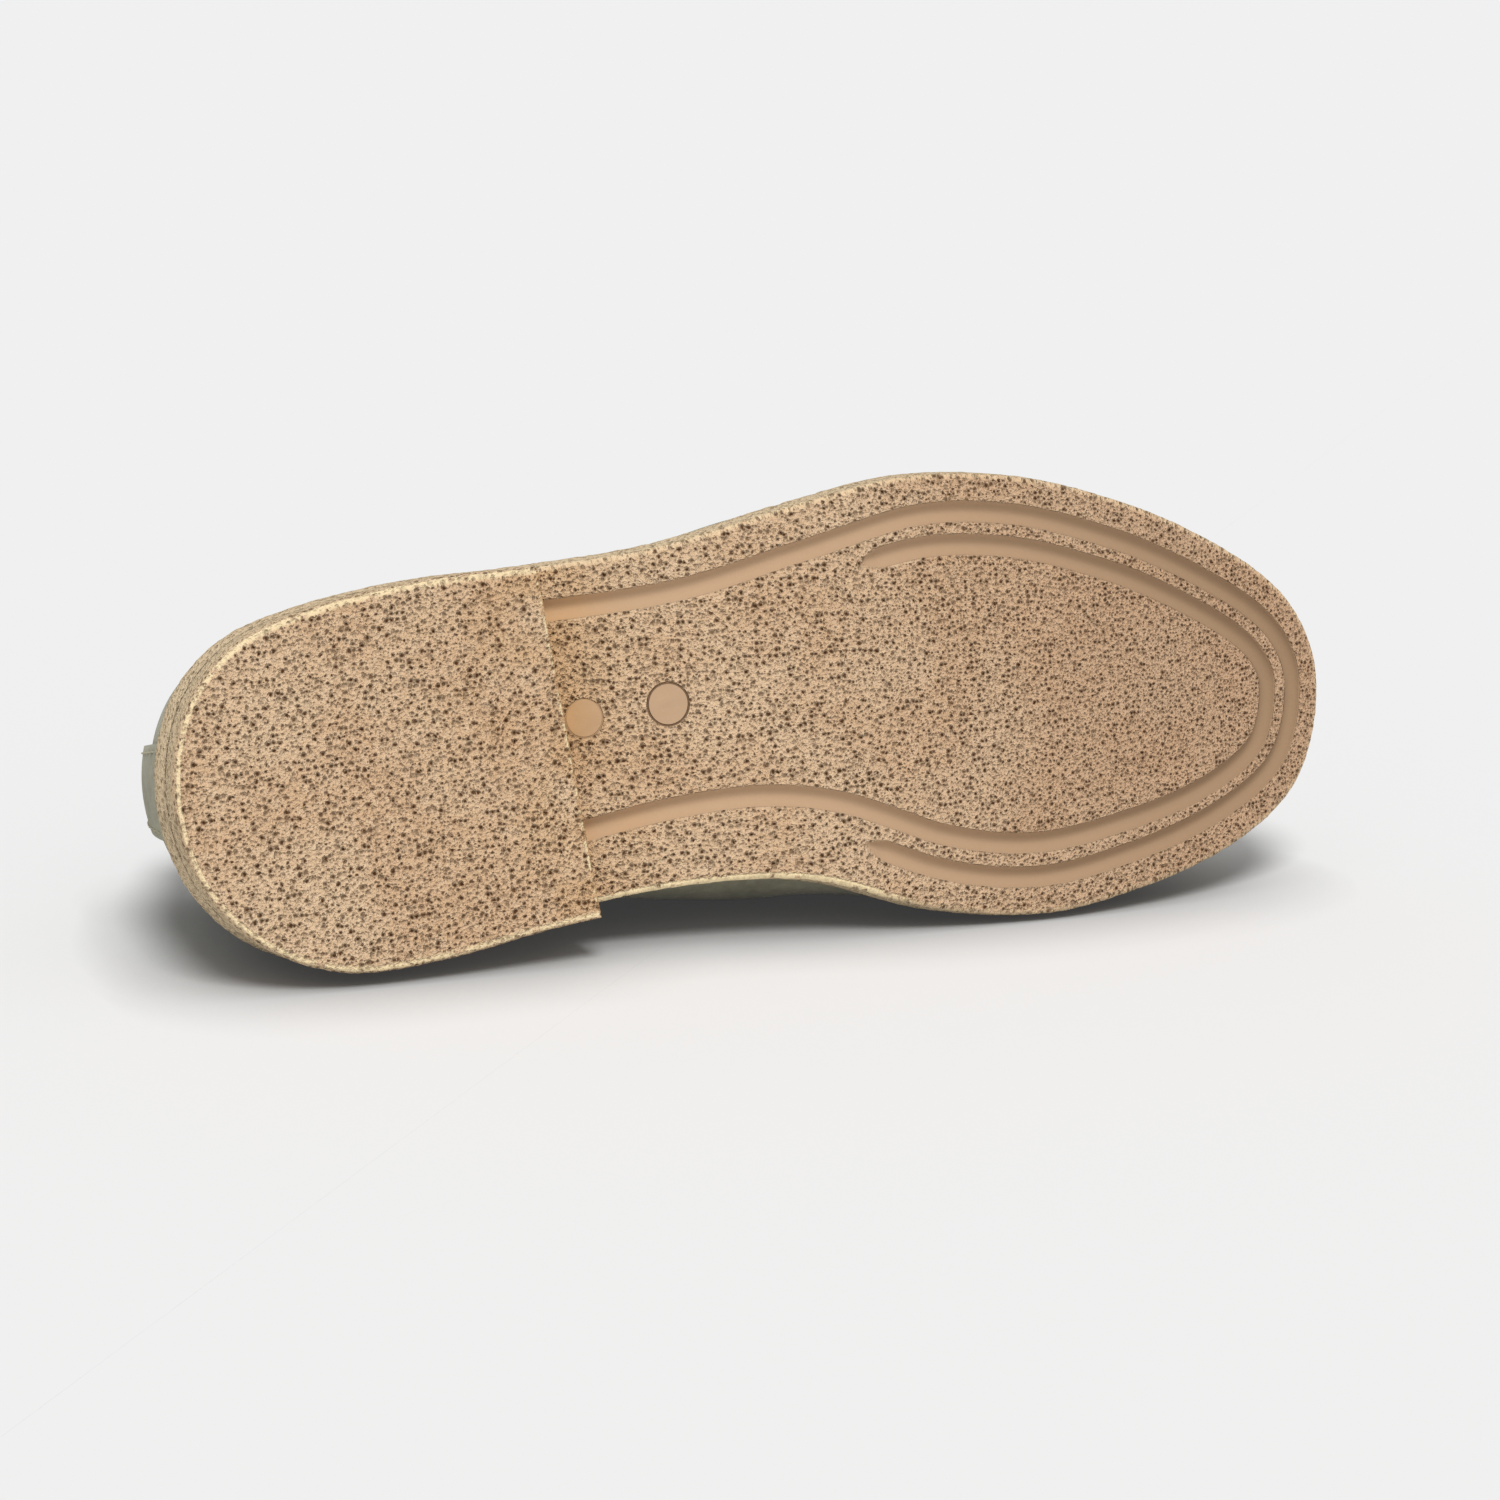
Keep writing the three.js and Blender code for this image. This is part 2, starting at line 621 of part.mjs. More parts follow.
// A U of leather over the top line, from the saddle round the heel and back to the saddle
function makeBinding() {
  const near = seat;
  const far = seat + bindingThickness;
  const profile = [
    { out: near, down: bindingDepth },
    { out: far, down: bindingDepth },
    { out: far, down: -near },
    { out: near, down: -far },
    { out: -upperWall - near, down: -far },
    { out: -upperWall - far, down: -near },
    { out: -upperWall - far, down: bindingDepth },
    { out: -upperWall - near, down: bindingDepth },
    { out: -upperWall - near, down: -near },
    { out: near, down: -near },
  ];
  const skin = new Skin();
  const reach = angleOf(throatAt);
  const steps = 52;
  const rings = rows(steps + 1).map((k) => {
    const t = (mix(-reach, reach, k / steps) + turn) % turn;
    const height = wallCurve(t, 1).distanceTo(wallCurve(t, 0));
    return skin.addAll(profile.map(({ out, down }) => wallPoint(t, 1 - down / height, out)));
  });
  skin.sweep(rings, [[0, 1, 2, 9], [9, 2, 3], [9, 3, 4, 8], [8, 4, 5], [8, 5, 6, 7]]);
  const rear = saddleEdge("rear", -seat);
  const [low, high] = [rear[0], rear.at(-1)].map((end) => new THREE.Vector2(farPast, end.y));
  return skin.solid().subtract(prism([...rear, high, low], ballWidth, sideView));
}

function makeTongue() {
  const skin = new Skin();
  const steps = 16;
  const columns = 8;
  const outside = -upperWall - 2 * seat;
  const sheet = (offset) =>
    rows(steps + 1).map((k) => {
      const share = k / steps;
      const angle = angleOf(mix(tongueEnd, tongueRoot, share));
      const round = Math.sqrt(clamp01(1 - (1 - clamp01(share / 0.3)) ** 2));
      const half = mix(0.2, 0.38, round);
      return skin.addAll(
        rows(columns + 1).map((n) =>
          apronPoint(angle, mix(0.5 - half, 0.5 + half, n / columns), upperWall, offset),
        ),
      );
    });
  const [top, under] = [sheet(outside), sheet(outside - tongueThickness)];
  for (const [grid, flip] of [[top, false], [under, true]]) {
    grid.slice(1).forEach((row, k) => (flip ? skin.join(row, grid[k]) : skin.join(grid[k], row)));
  }
  const border = (grid) => [
    ...grid[0].slice(0, -1),
    ...grid.slice(0, -1).map((row) => row.at(-1)),
    ...[...grid.at(-1)].reverse().slice(0, -1),
    ...[...grid].reverse().slice(0, -1).map((row) => row[0]),
  ];
  skin.join(border(under), border(top), true);
  return skin.solid();
}

const suede = new THREE.MeshStandardMaterial({ color: 0x8b8c70, roughness: 0.95 });
const suedeEdge = new THREE.MeshStandardMaterial({ color: 0x77795f, roughness: 0.95 });
const crepe = new THREE.MeshStandardMaterial({ color: 0xb89d7c, roughness: 0.9 });
const lining = new THREE.MeshStandardMaterial({ color: 0xc2a27a, roughness: 0.7 });

// name, solid, finish, and density in g/cm3 for the balance of the lying shoe
const pieces = [
  { name: "outsole", solid: makeOutsole(), finish: crepe, density: 0.85 },
  { name: "heel", solid: makeHeel(), finish: crepe, density: 0.85 },
  { name: "insole", solid: makeInsole(), finish: lining, density: 0.6 },
  { name: "upper", solid: makeUpper(), finish: suede, density: 0.85 },
  { name: "tongue", solid: makeTongue(), finish: suede, density: 0.85 },
  { name: "saddle", solid: makeSaddle(), finish: suede, density: 0.85 },
  { name: "back_strip", solid: makeBackStrip(), finish: suede, density: 0.85 },
  { name: "collar_binding", solid: makeBinding(), finish: suedeEdge, density: 0.85 },
];

function geometryOf(solid) {
  const { vertProperties, triVerts } = solid.getMesh();
  const geometry = new THREE.BufferGeometry();
  geometry.setAttribute("position", new THREE.BufferAttribute(new Float32Array(vertProperties), 3));
  geometry.setIndex(new THREE.BufferAttribute(new Uint32Array(triVerts), 1));
  geometry.computeVertexNormals();
  return geometry;
}

// Centre of weight of all pieces, from the signed volumes of their triangles' cones
function centreOfWeight(parts) {
  const sum = new THREE.Vector3();
  let weight = 0;
  const [a, b, c] = rows(3).map(() => new THREE.Vector3());
  for (const { geometry, density } of parts) {
    const { position } = geometry.attributes;
    for (let k = 0; k < geometry.index.count; k += 3) {
      [a, b, c].forEach((corner, n) => corner.fromBufferAttribute(position, geometry.index.getX(k + n)));
      const share = (density * a.dot(b.clone().cross(c))) / 6;
      sum.addScaledVector(a.clone().add(b).add(c), share / 4);
      weight += share;
    }
  }
  return sum.divideScalar(weight);
}

// The share between two ends at which a cost with one dip is lowest, by the golden section
function lowestBetween(low, high, cost) {
  const golden = (Math.sqrt(5) - 1) / 2;
  let [a, b] = [low, high];
  while (b - a > 1e-6) {
    const [left, right] = [b - golden * (b - a), a + golden * (b - a)];
    if (cost(left) < cost(right)) b = right;
    else a = left;
  }
  return (a + b) / 2;
}

// The shoe comes to rest where its centre of weight is lowest. The answer is the direction in the
// shoe that then points up: its lateral side, turned by a roll and a pitch.
function lyingSkyward(parts) {
  const centre = centreOfWeight(parts);
  const corners = parts.flatMap(({ geometry }) => {
    const { position } = geometry.attributes;
    return rows(position.count).map((k) => new THREE.Vector3().fromBufferAttribute(position, k));
  });
  const direction = (roll, pitch) =>
    new THREE.Vector3(Math.sin(pitch), -Math.cos(roll) * Math.cos(pitch), -Math.sin(roll) * Math.cos(pitch));
  const heightOf = (roll, pitch) => {
    const skyward = direction(roll, pitch);
    const lowest = corners.reduce((low, corner) => Math.min(low, corner.dot(skyward)), Infinity);
    return centre.dot(skyward) - lowest;
  };
  const pitchFor = (roll) => lowestBetween(radians(-6), radians(8), (pitch) => heightOf(roll, pitch));
  const roll = lowestBetween(0, radians(25), (angle) => heightOf(angle, pitchFor(angle)));
  return direction(roll, pitchFor(roll));
}

const parts = pieces.map((piece) => ({ ...piece, geometry: geometryOf(piece.solid) }));
const shoe = new THREE.Group();
for (const { name, geometry, finish } of parts) {
  const mesh = new THREE.Mesh(geometry, finish);
  mesh.name = name;
  shoe.add(mesh);
}

// Lay the shoe down, with the toe along +X, and stand its box on the middle of the floor
const skyward = lyingSkyward(parts);
const toeward = new THREE.Vector3(1, 0, 0).projectOnPlane(skyward).normalize();
const away = skyward.clone().cross(toeward);
const lay = new THREE.Matrix4().makeBasis(toeward, away, skyward).transpose();
shoe.quaternion.setFromRotationMatrix(lay);
shoe.updateMatrixWorld(true);
const box = new THREE.Box3().setFromObject(shoe, true);
const middle = box.getCenter(new THREE.Vector3());
shoe.position.set(-middle.x, -middle.y, -box.min.z);

const moccasin = new THREE.Group();
moccasin.add(shoe);

export default moccasin;
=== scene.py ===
# %% [markdown]
# # A suede moccasin, lying on its side
# The photograph shows little but the sole of a right shoe: pitted crepe rubber with two smooth
# grooves, a heel block with a slanted front, and a sliver of sage suede behind it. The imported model
# gives every place and size. This lesson dresses it piece by piece, as a shoemaker would: sole,
# heel, upper, strap, trim and thread.

import bmesh
import bpy
import numpy as np
from mathutils import Matrix
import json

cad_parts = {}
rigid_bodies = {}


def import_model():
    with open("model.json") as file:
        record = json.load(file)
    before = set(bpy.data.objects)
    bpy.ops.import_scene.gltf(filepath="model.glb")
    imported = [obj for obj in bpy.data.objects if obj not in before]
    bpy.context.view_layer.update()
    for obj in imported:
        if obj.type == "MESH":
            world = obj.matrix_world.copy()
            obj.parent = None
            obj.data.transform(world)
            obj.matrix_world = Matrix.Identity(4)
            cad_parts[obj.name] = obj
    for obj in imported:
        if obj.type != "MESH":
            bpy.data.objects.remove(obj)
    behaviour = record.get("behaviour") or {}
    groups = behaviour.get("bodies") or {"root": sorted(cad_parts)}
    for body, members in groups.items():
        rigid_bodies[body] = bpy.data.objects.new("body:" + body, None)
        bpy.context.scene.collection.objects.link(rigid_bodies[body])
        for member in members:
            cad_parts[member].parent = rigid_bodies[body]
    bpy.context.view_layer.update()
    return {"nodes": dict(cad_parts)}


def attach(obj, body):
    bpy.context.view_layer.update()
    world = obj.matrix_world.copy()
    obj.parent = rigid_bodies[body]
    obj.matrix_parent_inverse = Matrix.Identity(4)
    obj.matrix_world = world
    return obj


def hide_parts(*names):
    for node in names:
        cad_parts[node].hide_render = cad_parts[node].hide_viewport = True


for left_over in list(bpy.data.objects):
    bpy.data.objects.remove(left_over)
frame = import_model()
print("packed pieces:", ", ".join(sorted(frame["nodes"])))

# %% [markdown]
# ## The camera
# It comes first, because everything is judged through it. A long lens stands low in front of the
# sole, which leans back a little, and looks slightly down from the heel's side. The roll is the
# small tilt that the photographer's frame has to the floor.

# %% Camera
LOOK_AZIMUTH = 25.450638
LOOK_DOWN = 14.359884
LOOK_ROLL = 2.44659
CAMERA_PLACE = np.array([-325.14968, -688.20717, 230.32258]) / 1000
FOCAL_PIXELS = 3300
IMAGE_PIXELS = 1500


def unit(vectors):
    """Each vector divided by its own length."""
    return vectors / np.maximum(np.linalg.norm(vectors, axis=-1, keepdims=True), 1e-12)


def set_camera():
    """Looks along the azimuth from +Y, down by the elevation, then turned about the view by roll."""
    azimuth, down, roll = np.radians([LOOK_AZIMUTH, LOOK_DOWN, LOOK_ROLL])
    view = np.array([np.cos(down) * np.sin(azimuth), np.cos(down) * np.cos(azimuth), -np.sin(down)])
    right = unit(np.cross(view, [0, 0, 1]))
    above = np.cross(right, view)
    across = np.cos(roll) * right + np.sin(roll) * above
    upward = np.cos(roll) * above - np.sin(roll) * right
    data = bpy.data.cameras.new("camera")
    data.sensor_width = 36
    data.lens = 36 * FOCAL_PIXELS / IMAGE_PIXELS
    data.clip_start, data.clip_end = 0.01, 100
    made = bpy.data.objects.new("camera", data)
    bpy.context.scene.collection.objects.link(made)
    placed = np.eye(4)
    placed[:3, :3] = np.stack([across, upward, -view], axis=1)
    placed[:3, 3] = CAMERA_PLACE
    made.matrix_world = Matrix(placed)
    bpy.context.scene.camera = made
    return made


camera = set_camera()
print("camera:", round(camera.data.lens, 1), "mm lens")

# %% [markdown]
# ## The shoe's own frame
# A shoemaker works on a shoe that stands: +X from heel to toe, +Y to the inner side, +Z up, in
# millimetres. Every shape below is worked out there, from the same named sizes as the packed
# solids, and one turn and one shift at the end lay the shoe on its side.

# %% Sizes
SOLE_LENGTH = 293.3
BALL_WIDTH = 104
SOLE_THICKNESS = 8
HEEL_HEIGHT = 9.5
TOE_SPRING = 9
EDGE_BEVEL = 1.2
SIDE_FLARE = 0.5
HEEL_CORNER_FLARE = 1.4
GROOVE_WIDTH = 4.8
GROOVE_DEPTH = 1.7
FEATHER_INSET = 3
COLLAR_HEIGHT = 56
UPPER_WALL = 1.8
SEAM_HEIGHT = 2.4
SEAM_WIDTH = 3.4
SADDLE_THICKNESS = 1.8
TONGUE_THICKNESS = 1.6
BACK_STRIP_THICKNESS = 1.4
BACK_STRIP_WIDTH = 22
BINDING_THICKNESS = 1
BINDING_DEPTH = 6
INSOLE_THICKNESS = 3
SEAT = 0.3

HEEL_BREAST_LATERAL, HEEL_BREAST_MEDIAL = 0.286, 0.326
WAIST_ENDS, SPRING_STARTS = 0.58, 0.7
RIM_BACK, RIM_FRONT = 0.052, 0.905
THROAT_AT = 0.58
TONGUE_END, TONGUE_ROOT = 0.475, 0.66
OUTER_GROOVE_ENDS, INNER_GROOVE_ENDS = 0.535, 0.55
STEEPEST_APRON = np.radians(44)

# %% [markdown]
# ## Tables of the last
# The last, the wooden foot that a shoe is built on, is a set of sections. Each table has one column
# a side, as shares of the ball width or the collar height, at places along the sole.

# %% Tables
outline = np.array([
    (0, 0, 0), (0.02, 0.212, 0.206), (0.06, 0.331, 0.31), (0.12, 0.4, 0.365), (0.2, 0.395, 0.4),
    (0.3, 0.344, 0.413), (0.4, 0.316, 0.438), (0.5, 0.332, 0.5), (0.6, 0.4265, 0.549),
    (0.7, 0.4725, 0.5345), (0.8, 0.444, 0.4605), (0.9, 0.3685, 0.3385), (0.97, 0.243, 0.2), (1, 0, 0),
])
rim_plan = np.array([
    (0, 0, 0), (0.02, 0.112, 0.112), (0.06, 0.18, 0.18), (0.12, 0.232, 0.238), (0.2, 0.258, 0.275),
    (0.32, 0.256, 0.295), (0.44, 0.26, 0.31), (0.56, 0.262, 0.318), (0.72, 0.28, 0.33),
    (0.83, 0.252, 0.292), (0.91, 0.198, 0.222), (0.97, 0.118, 0.124), (1, 0, 0),
])
wall_sections = np.array([  # along, rise, medial bulge, lateral bulge, lean
    (0, 1, 0.024, 0.024, 78), (0.08, 0.97, 0.022, 0.026, 78), (0.2, 0.86, 0.02, 0.03, 76),
    (0.32, 0.8, 0.066, 0.036, 70), (0.42, 0.84, 0.146, 0.04, 60), (0.5, 0.89, 0.147, 0.045, 51),
    (0.58, 0.87, 0.045, 0.04, 46), (0.7, 0.71, 0.002, 0.04, 38), (0.82, 0.52, 0.032, 0.044, 31),
    (0.92, 0.39, 0.044, 0.046, 28), (1, 0.32, 0.046, 0.046, 27),
])
groove_insets = np.array([  # along, outer, inner medial, inner lateral
    (0, 0.1, 0.16, 0.172), (0.35, 0.104, 0.168, 0.172), (0.46, 0.109, 0.188, 0.172),
    (0.55, 0.103, 0.179, 0.172), (0.63, 0.092, 0.169, 0.165), (0.74, 0.093, 0.17, 0.167),
    (0.88, 0.097, 0.167, 0.171), (1, 0.088, 0.1665, 0.1665),
])
saddle_edges = np.array([  # up, rear, front
    (0.78, 0.479, 0.521), (0.95, 0.487, 0.536), (1.15, 0.5, 0.562), (1.4, 0.51, 0.585),
    (1.8, 0.52, 0.6),
])
TURN = 2 * np.pi


def mix(a, b, share):
    """a at share 0, b at share 1, and a straight line between."""
    return a + (b - a) * share


def ease(share):
    """Three times the square of the share less twice its cube: a soft step from 0 to 1."""
    share = np.clip(share, 0, 1)
    return share * share * (3 - 2 * share)


def angle_of(along):
    """Angle that stands for a place along the sole, so that even steps crowd at heel and toe."""
    return np.arccos(1 - 2 * np.asarray(along, float))


def along_of(angle):
    """Half of one less the cosine of the angle: the place along the sole again."""
    return (1 - np.cos(angle)) / 2


def curve_through(table, column, sign=1):
    """Cubic through a table's points over the angle, mirrored past both ends (turned over at -1)."""
    angles = angle_of(table[:, 0])
    x = np.concatenate([[-angles[1]], angles, [TURN - angles[-2]]])
    y = np.concatenate([[sign * table[1, column]], table[:, column], [sign * table[-2, column]]])
    steep = np.diff(y) / np.diff(x)
    share = (x[1:-1] - x[:-2]) / (x[2:] - x[:-2])
    slopes = np.concatenate([[steep[0]], mix(steep[:-1], steep[1:], share), [steep[-1]]])

    def at(angle):
        k = np.clip(np.searchsorted(x, angle) - 1, 1, len(x) - 2)
        span, rise = x[k + 1] - x[k], y[k + 1] - y[k]
        s = (angle - x[k]) / span
        bend = (1 - s) * (span * slopes[k] - rise) - s * (span * slopes[k + 1] - rise)
        return y[k] + rise * s + s * (1 - s) * bend

    return at


sole_width = [curve_through(outline, column, -1) for column in (1, 2)]
rim_width = [curve_through(rim_plan, column, -1) for column in (1, 2)]
rise_at = curve_through(wall_sections, 1)
bulge_at = [curve_through(wall_sections, column) for column in (2, 3)]
lean_at = curve_through(wall_sections, 4)
outer_inset_at = curve_through(groove_insets, 1)
inner_inset_at = [curve_through(groove_insets, column) for column in (2, 3)]
print("tables:", len(outline), "places on the outline,", len(wall_sections), "wall sections")

# %% [markdown]
# ## Points of the shoe
# A loop round the shoe is counted in t: 0 at the heel, over the inner side to half a turn at the
# toe, and back over the outer side. These functions take whole arrays of t, so a surface with a
# hundred thousand points is one call.

# %% Shape functions
def folded(t):
    """Angle of t on its own side, from 0 at the heel to half a turn at the toe."""
    return np.where(t <= np.pi, t, TURN - t)


def by_side(pair, t):
    """The inner side's curve up to half a turn, and the outer side's after it."""
    return np.where(t <= np.pi, pair[0](folded(t)), pair[1](folded(t)))


def plan_point(widths, t, back=0.0, front=1.0):
    """x is the place along the sole; y is the side's width, inner side positive."""
    t = np.mod(t, TURN)
    y = BALL_WIDTH * by_side(widths, t) * np.where(t <= np.pi, 1, -1)
    x = SOLE_LENGTH * mix(back, front, along_of(folded(t)))
    return np.stack([x, y], -1)


def inset_point(t, inset, widths=sole_width, back=0.0, front=1.0):
    """Plan point moved inwards by inset, square to the outline, and the outward direction there."""
    before = plan_point(widths, t - 1e-3, back, front)
    after = plan_point(widths, t + 1e-3, back, front)
    outward = unit(np.stack([before[..., 1] - after[..., 1], after[..., 0] - before[..., 0]], -1))
    return plan_point(widths, t, back, front) - outward * np.asarray(inset)[..., None], outward


def underside_at(x):
    """Height of the sole's underside: level over the heel, down the waist, flat, up at the toe."""
    along = x / SOLE_LENGTH
    starts = 0.5 * (HEEL_BREAST_LATERAL + HEEL_BREAST_MEDIAL) - 0.04
    down = ease((along - starts) / (WAIST_ENDS - starts))
    spring = np.clip((along - SPRING_STARTS) / (1 - SPRING_STARTS), 0, 1)
    return HEEL_HEIGHT * (1 - down) + TOE_SPRING * spring**1.8


def sole_top_at(x):
    """The underside and one sole thickness."""
    return underside_at(x) + SOLE_THICKNESS


def lifted(plan, height):
    """A plan point (x, y) with its height as z."""
    return np.concatenate([plan, np.asarray(height)[..., None]], -1)


def wall_curve(t, v):
    """Cubic Bezier curve from the wall's foot (v 0) over belly and shoulder to the rim (v 1)."""
    t, v = np.broadcast_arrays(np.mod(t, TURN), v)
    angle = folded(t)
    plan, outward = inset_point(t, FEATHER_INSET)
    foot = lifted(plan, sole_top_at(plan[..., 0]) + SEAT)
    rim = plan_point(rim_width, t, RIM_BACK, RIM_FRONT)
    top = lifted(rim, foot[..., 2] + rise_at(angle) * COLLAR_HEIGHT)
    outward = lifted(outward, np.zeros(t.shape))
    slope = np.radians(lean_at(angle))[..., None]
    reach = 0.38 * np.linalg.norm(top - foot, axis=-1, keepdims=True)
    belly = foot + outward * (by_side(bulge_at, t) * BALL_WIDTH)[..., None]
    belly[..., 2] += 0.4 * (top - foot)[..., 2]
    shoulder = top + outward * reach * np.cos(slope)
    shoulder[..., 2] -= (reach * np.sin(slope))[..., 0]
    v = v[..., None]
    return foot * (1 - v) ** 3 + 3 * belly * v * (1 - v) ** 2 + 3 * shoulder * v**2 * (1 - v) + top * v**3


def wall_normal(t, v):
    """Cross product of the wall's step upwards and its step along the shoe, with length one."""
    along = wall_curve(t + 2e-3, v) - wall_curve(t - 2e-3, v)
    upwards = wall_curve(t, v + 2e-3) - wall_curve(t, v - 2e-3)
    return unit(np.cross(upwards, along))


def wall_point(t, v, offset=0.0):
    """Point of the wall, moved out along the wall's own normal by offset."""
    return wall_curve(t, v) + wall_normal(t, v) * np.asarray(offset)[..., None]


def apron_slope(angle):
    """How steeply the top of the foot leaves its edge."""
    return np.tan(np.minimum(STEEPEST_APRON, np.radians(lean_at(angle))))


def near_rim(t, inset):
    """Point on the top of the foot, an inset away from the rim."""
    t = np.mod(t, TURN)
    plan, _ = inset_point(t, inset, rim_width, RIM_BACK, RIM_FRONT)
    return lifted(plan, wall_curve(t, 1.0)[..., 2] + inset * apron_slope(folded(t)))


def apron_curve(angle, w, inset):
    """From the inner edge (w 0) to the outer (w 1), with a crown of slope times width times w(1-w)."""
    angle, w = np.broadcast_arrays(angle, w)
    medial, lateral = near_rim(angle, inset), near_rim(TURN - angle, inset)
    width = np.linalg.norm(lateral - medial, axis=-1)
    made = mix(medial, lateral, w[..., None])
    made[..., 2] += apron_slope(angle) * width * w * (1 - w)
    return made


def apron_normal(angle, w, inset):
    """Cross product of the apron's step across and its step forwards, with length one."""
    forwards = apron_curve(angle + 2e-3, w, inset) - apron_curve(angle - 2e-3, w, inset)
    across = apron_curve(angle, w + 2e-3, inset) - apron_curve(angle, w - 2e-3, inset)
    normal = np.cross(across, forwards)
    flat = np.linalg.norm(normal, axis=-1, keepdims=True) < 1e-6
    return unit(np.where(flat, [0.0, 0.0, 1.0], normal))


def apron_point(angle, w, inset=0.0, offset=0.0):
    """Point on the top of the foot, moved out along its normal by offset."""
    return apron_curve(angle, w, inset) + apron_normal(angle, w, inset) * np.asarray(offset)[..., None]


print("rim over the heel:", np.round(wall_curve(0.0, 1.0), 1), "mm")

# %% [markdown]
# ## Laying the shoe down
# It rests where its weight lies lowest: on the edge of the heel, the edge of the sole at the ball,
# and the lower end of the strap. SKYWARD is the shoe's direction that then points up.

# %% From the shoe's frame to the floor
SKYWARD = unit(np.array([0.02905876, -0.9771143, -0.21072076]))
TOEWARD = unit(np.array([1.0, 0.0, 0.0]) - SKYWARD[0] * SKYWARD)
AWAY = np.cross(SKYWARD, TOEWARD)
LAY = np.stack([TOEWARD, AWAY, SKYWARD])
SHIFT = np.array([-146.64197, -33.37965, 43.52103])


def to_floor(points):
    """Millimetres in the shoe's frame to metres on the floor: turned, then shifted."""
    return (points @ LAY.T + SHIFT) / 1000


# %% [markdown]
# ## From grids to a skin
# A piece is a few grids of points that share their borders. `skin` lays a face between each four
# neighbours, welds what falls together, turns every face outwards and says whether it is closed.

# %% Skins and noise
def grid(points, closed=False, **masks):
    """Points and faces of one grid, its rows closed into a loop or not, with its masks."""
    rows, columns = points.shape[:2]
    index = np.arange(rows * columns).reshape(rows, columns)
    if closed:
        index = np.vstack([index, index[:1]])
    faces = np.stack([index[:-1, :-1], index[1:, :-1], index[1:, 1:], index[:-1, 1:]], -1)
    masks = {key: np.broadcast_to(value, (rows, columns)).ravel() for key, value in masks.items()}
    return points.reshape(-1, 3), faces.reshape(-1, 4), masks


def slab(outer, inner, **masks):
    """A sheet between two matching grids: both faces and the four narrow sides between them."""
    pairs = np.stack([outer, inner], 2)
    sides = [pairs[0], pairs[-1], pairs[:, 0], pairs[:, -1]]
    return [grid(outer, **masks), grid(inner), *(grid(side) for side in sides)]


def skin(name, parts, material, replaced=None):
    """One mesh from parts in the shoe's frame, welded, laid on the floor and riding on the shoe."""
    starts = np.cumsum([0] + [len(points) for points, _, _ in parts])
    points = np.concatenate([points for points, _, _ in parts])
    faces = np.concatenate([faces + start for (_, faces, _), start in zip(parts, starts)])
    mesh = bpy.data.meshes.new(name)
    mesh.from_pydata(to_floor(points), [], faces.tolist())
    for mask in sorted({key for _, _, masks in parts for key in masks}):
        values = [masks.get(mask, np.zeros(len(points))) for points, _, masks in parts]
        attribute = mesh.attributes.new(mask, "FLOAT", "POINT")
        attribute.data.foreach_set("value", np.concatenate(values).astype(np.float32))
    welded = bmesh.new()
    welded.from_mesh(mesh)
    bmesh.ops.remove_doubles(welded, verts=welded.verts, dist=2e-6)
    bmesh.ops.recalc_face_normals(welded, faces=welded.faces)
    volume = welded.calc_volume(signed=True)
    welded.to_mesh(mesh)
    welded.free()
    mesh.polygons.foreach_set("use_smooth", np.ones(len(mesh.polygons), bool))
    mesh.materials.append(material)
    made = bpy.data.objects.new(name, mesh)
    bpy.context.scene.collection.objects.link(made)
    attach(made, "root")
    if replaced:
        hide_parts(replaced)
    edge_of_loop = np.zeros(len(mesh.loops), np.int32)
    mesh.loops.foreach_get("edge_index", edge_of_loop)
    uses = np.bincount(edge_of_loop, minlength=len(mesh.edges))
    mesh.calc_loop_triangles()
    print(
        f"{name}: {len(mesh.loop_triangles)} triangles, {volume * 1e6:.2f} cm3,",
        f"{(uses != 2).sum()} open edges",
    )
    return made


def lumps(points, size, seed):
    """Smooth random heights from -1 to 1: random values at the corners of cubes of the given size,
    eased from corner to corner."""
    table = np.random.default_rng(seed).uniform(-1, 1, (64, 64, 64))
    low = np.floor(points / size).astype(int)
    part = ease(points / size - low)
    total = np.zeros(points.shape[:-1])
    for corner in np.ndindex(2, 2, 2):
        weight = np.prod(np.where(corner, part, 1 - part), axis=-1)
        k = (low + corner) % 64
        total += weight * table[k[..., 0], k[..., 1], k[..., 2]]
    return total


# %% [markdown]
# ## Material helpers
# A colour is written as it is read from a screen, 0 to 255, and turned into light. Node trees are
# built by short calls, and what two materials share becomes a node group.

# %% Node helpers
def light(*screen):
    """Screen colour as linear light: the sRGB curve undone."""
    c = np.array(screen) / 255
    linear = np.where(c <= 0.04045, c / 12.92, ((c + 0.055) / 1.055) ** 2.4)
    return (*linear.tolist(), 1.0)


def node(tree, kind, inputs=None, **settings):
    """A new node with its settings, its inputs linked or set."""
    made = tree.nodes.new(kind)
    for key, value in settings.items():
        setattr(made, key, value)
    for key, value in (inputs or {}).items():
        if isinstance(value, bpy.types.NodeSocket):
            tree.links.new(value, made.inputs[key])
        else:
            made.inputs[key].default_value = value
    return made


def sums(tree, operation, *values):
    """Result of one Math node."""
    return node(tree, "ShaderNodeMath", dict(enumerate(values)), operation=operation).outputs[0]


def vectors(tree, operation, *values):
    """Result of one Vector Math node."""
    return node(tree, "ShaderNodeVectorMath", dict(enumerate(values)), operation=operation).outputs[0]


def blended(tree, share, a, b, blend_type="MIX"):
    """Colour a turned towards colour b by the share."""
    made = node(tree, "ShaderNodeMix", {0: share, 6: a, 7: b}, data_type="RGBA", blend_type=blend_type)
    return made.outputs[2]


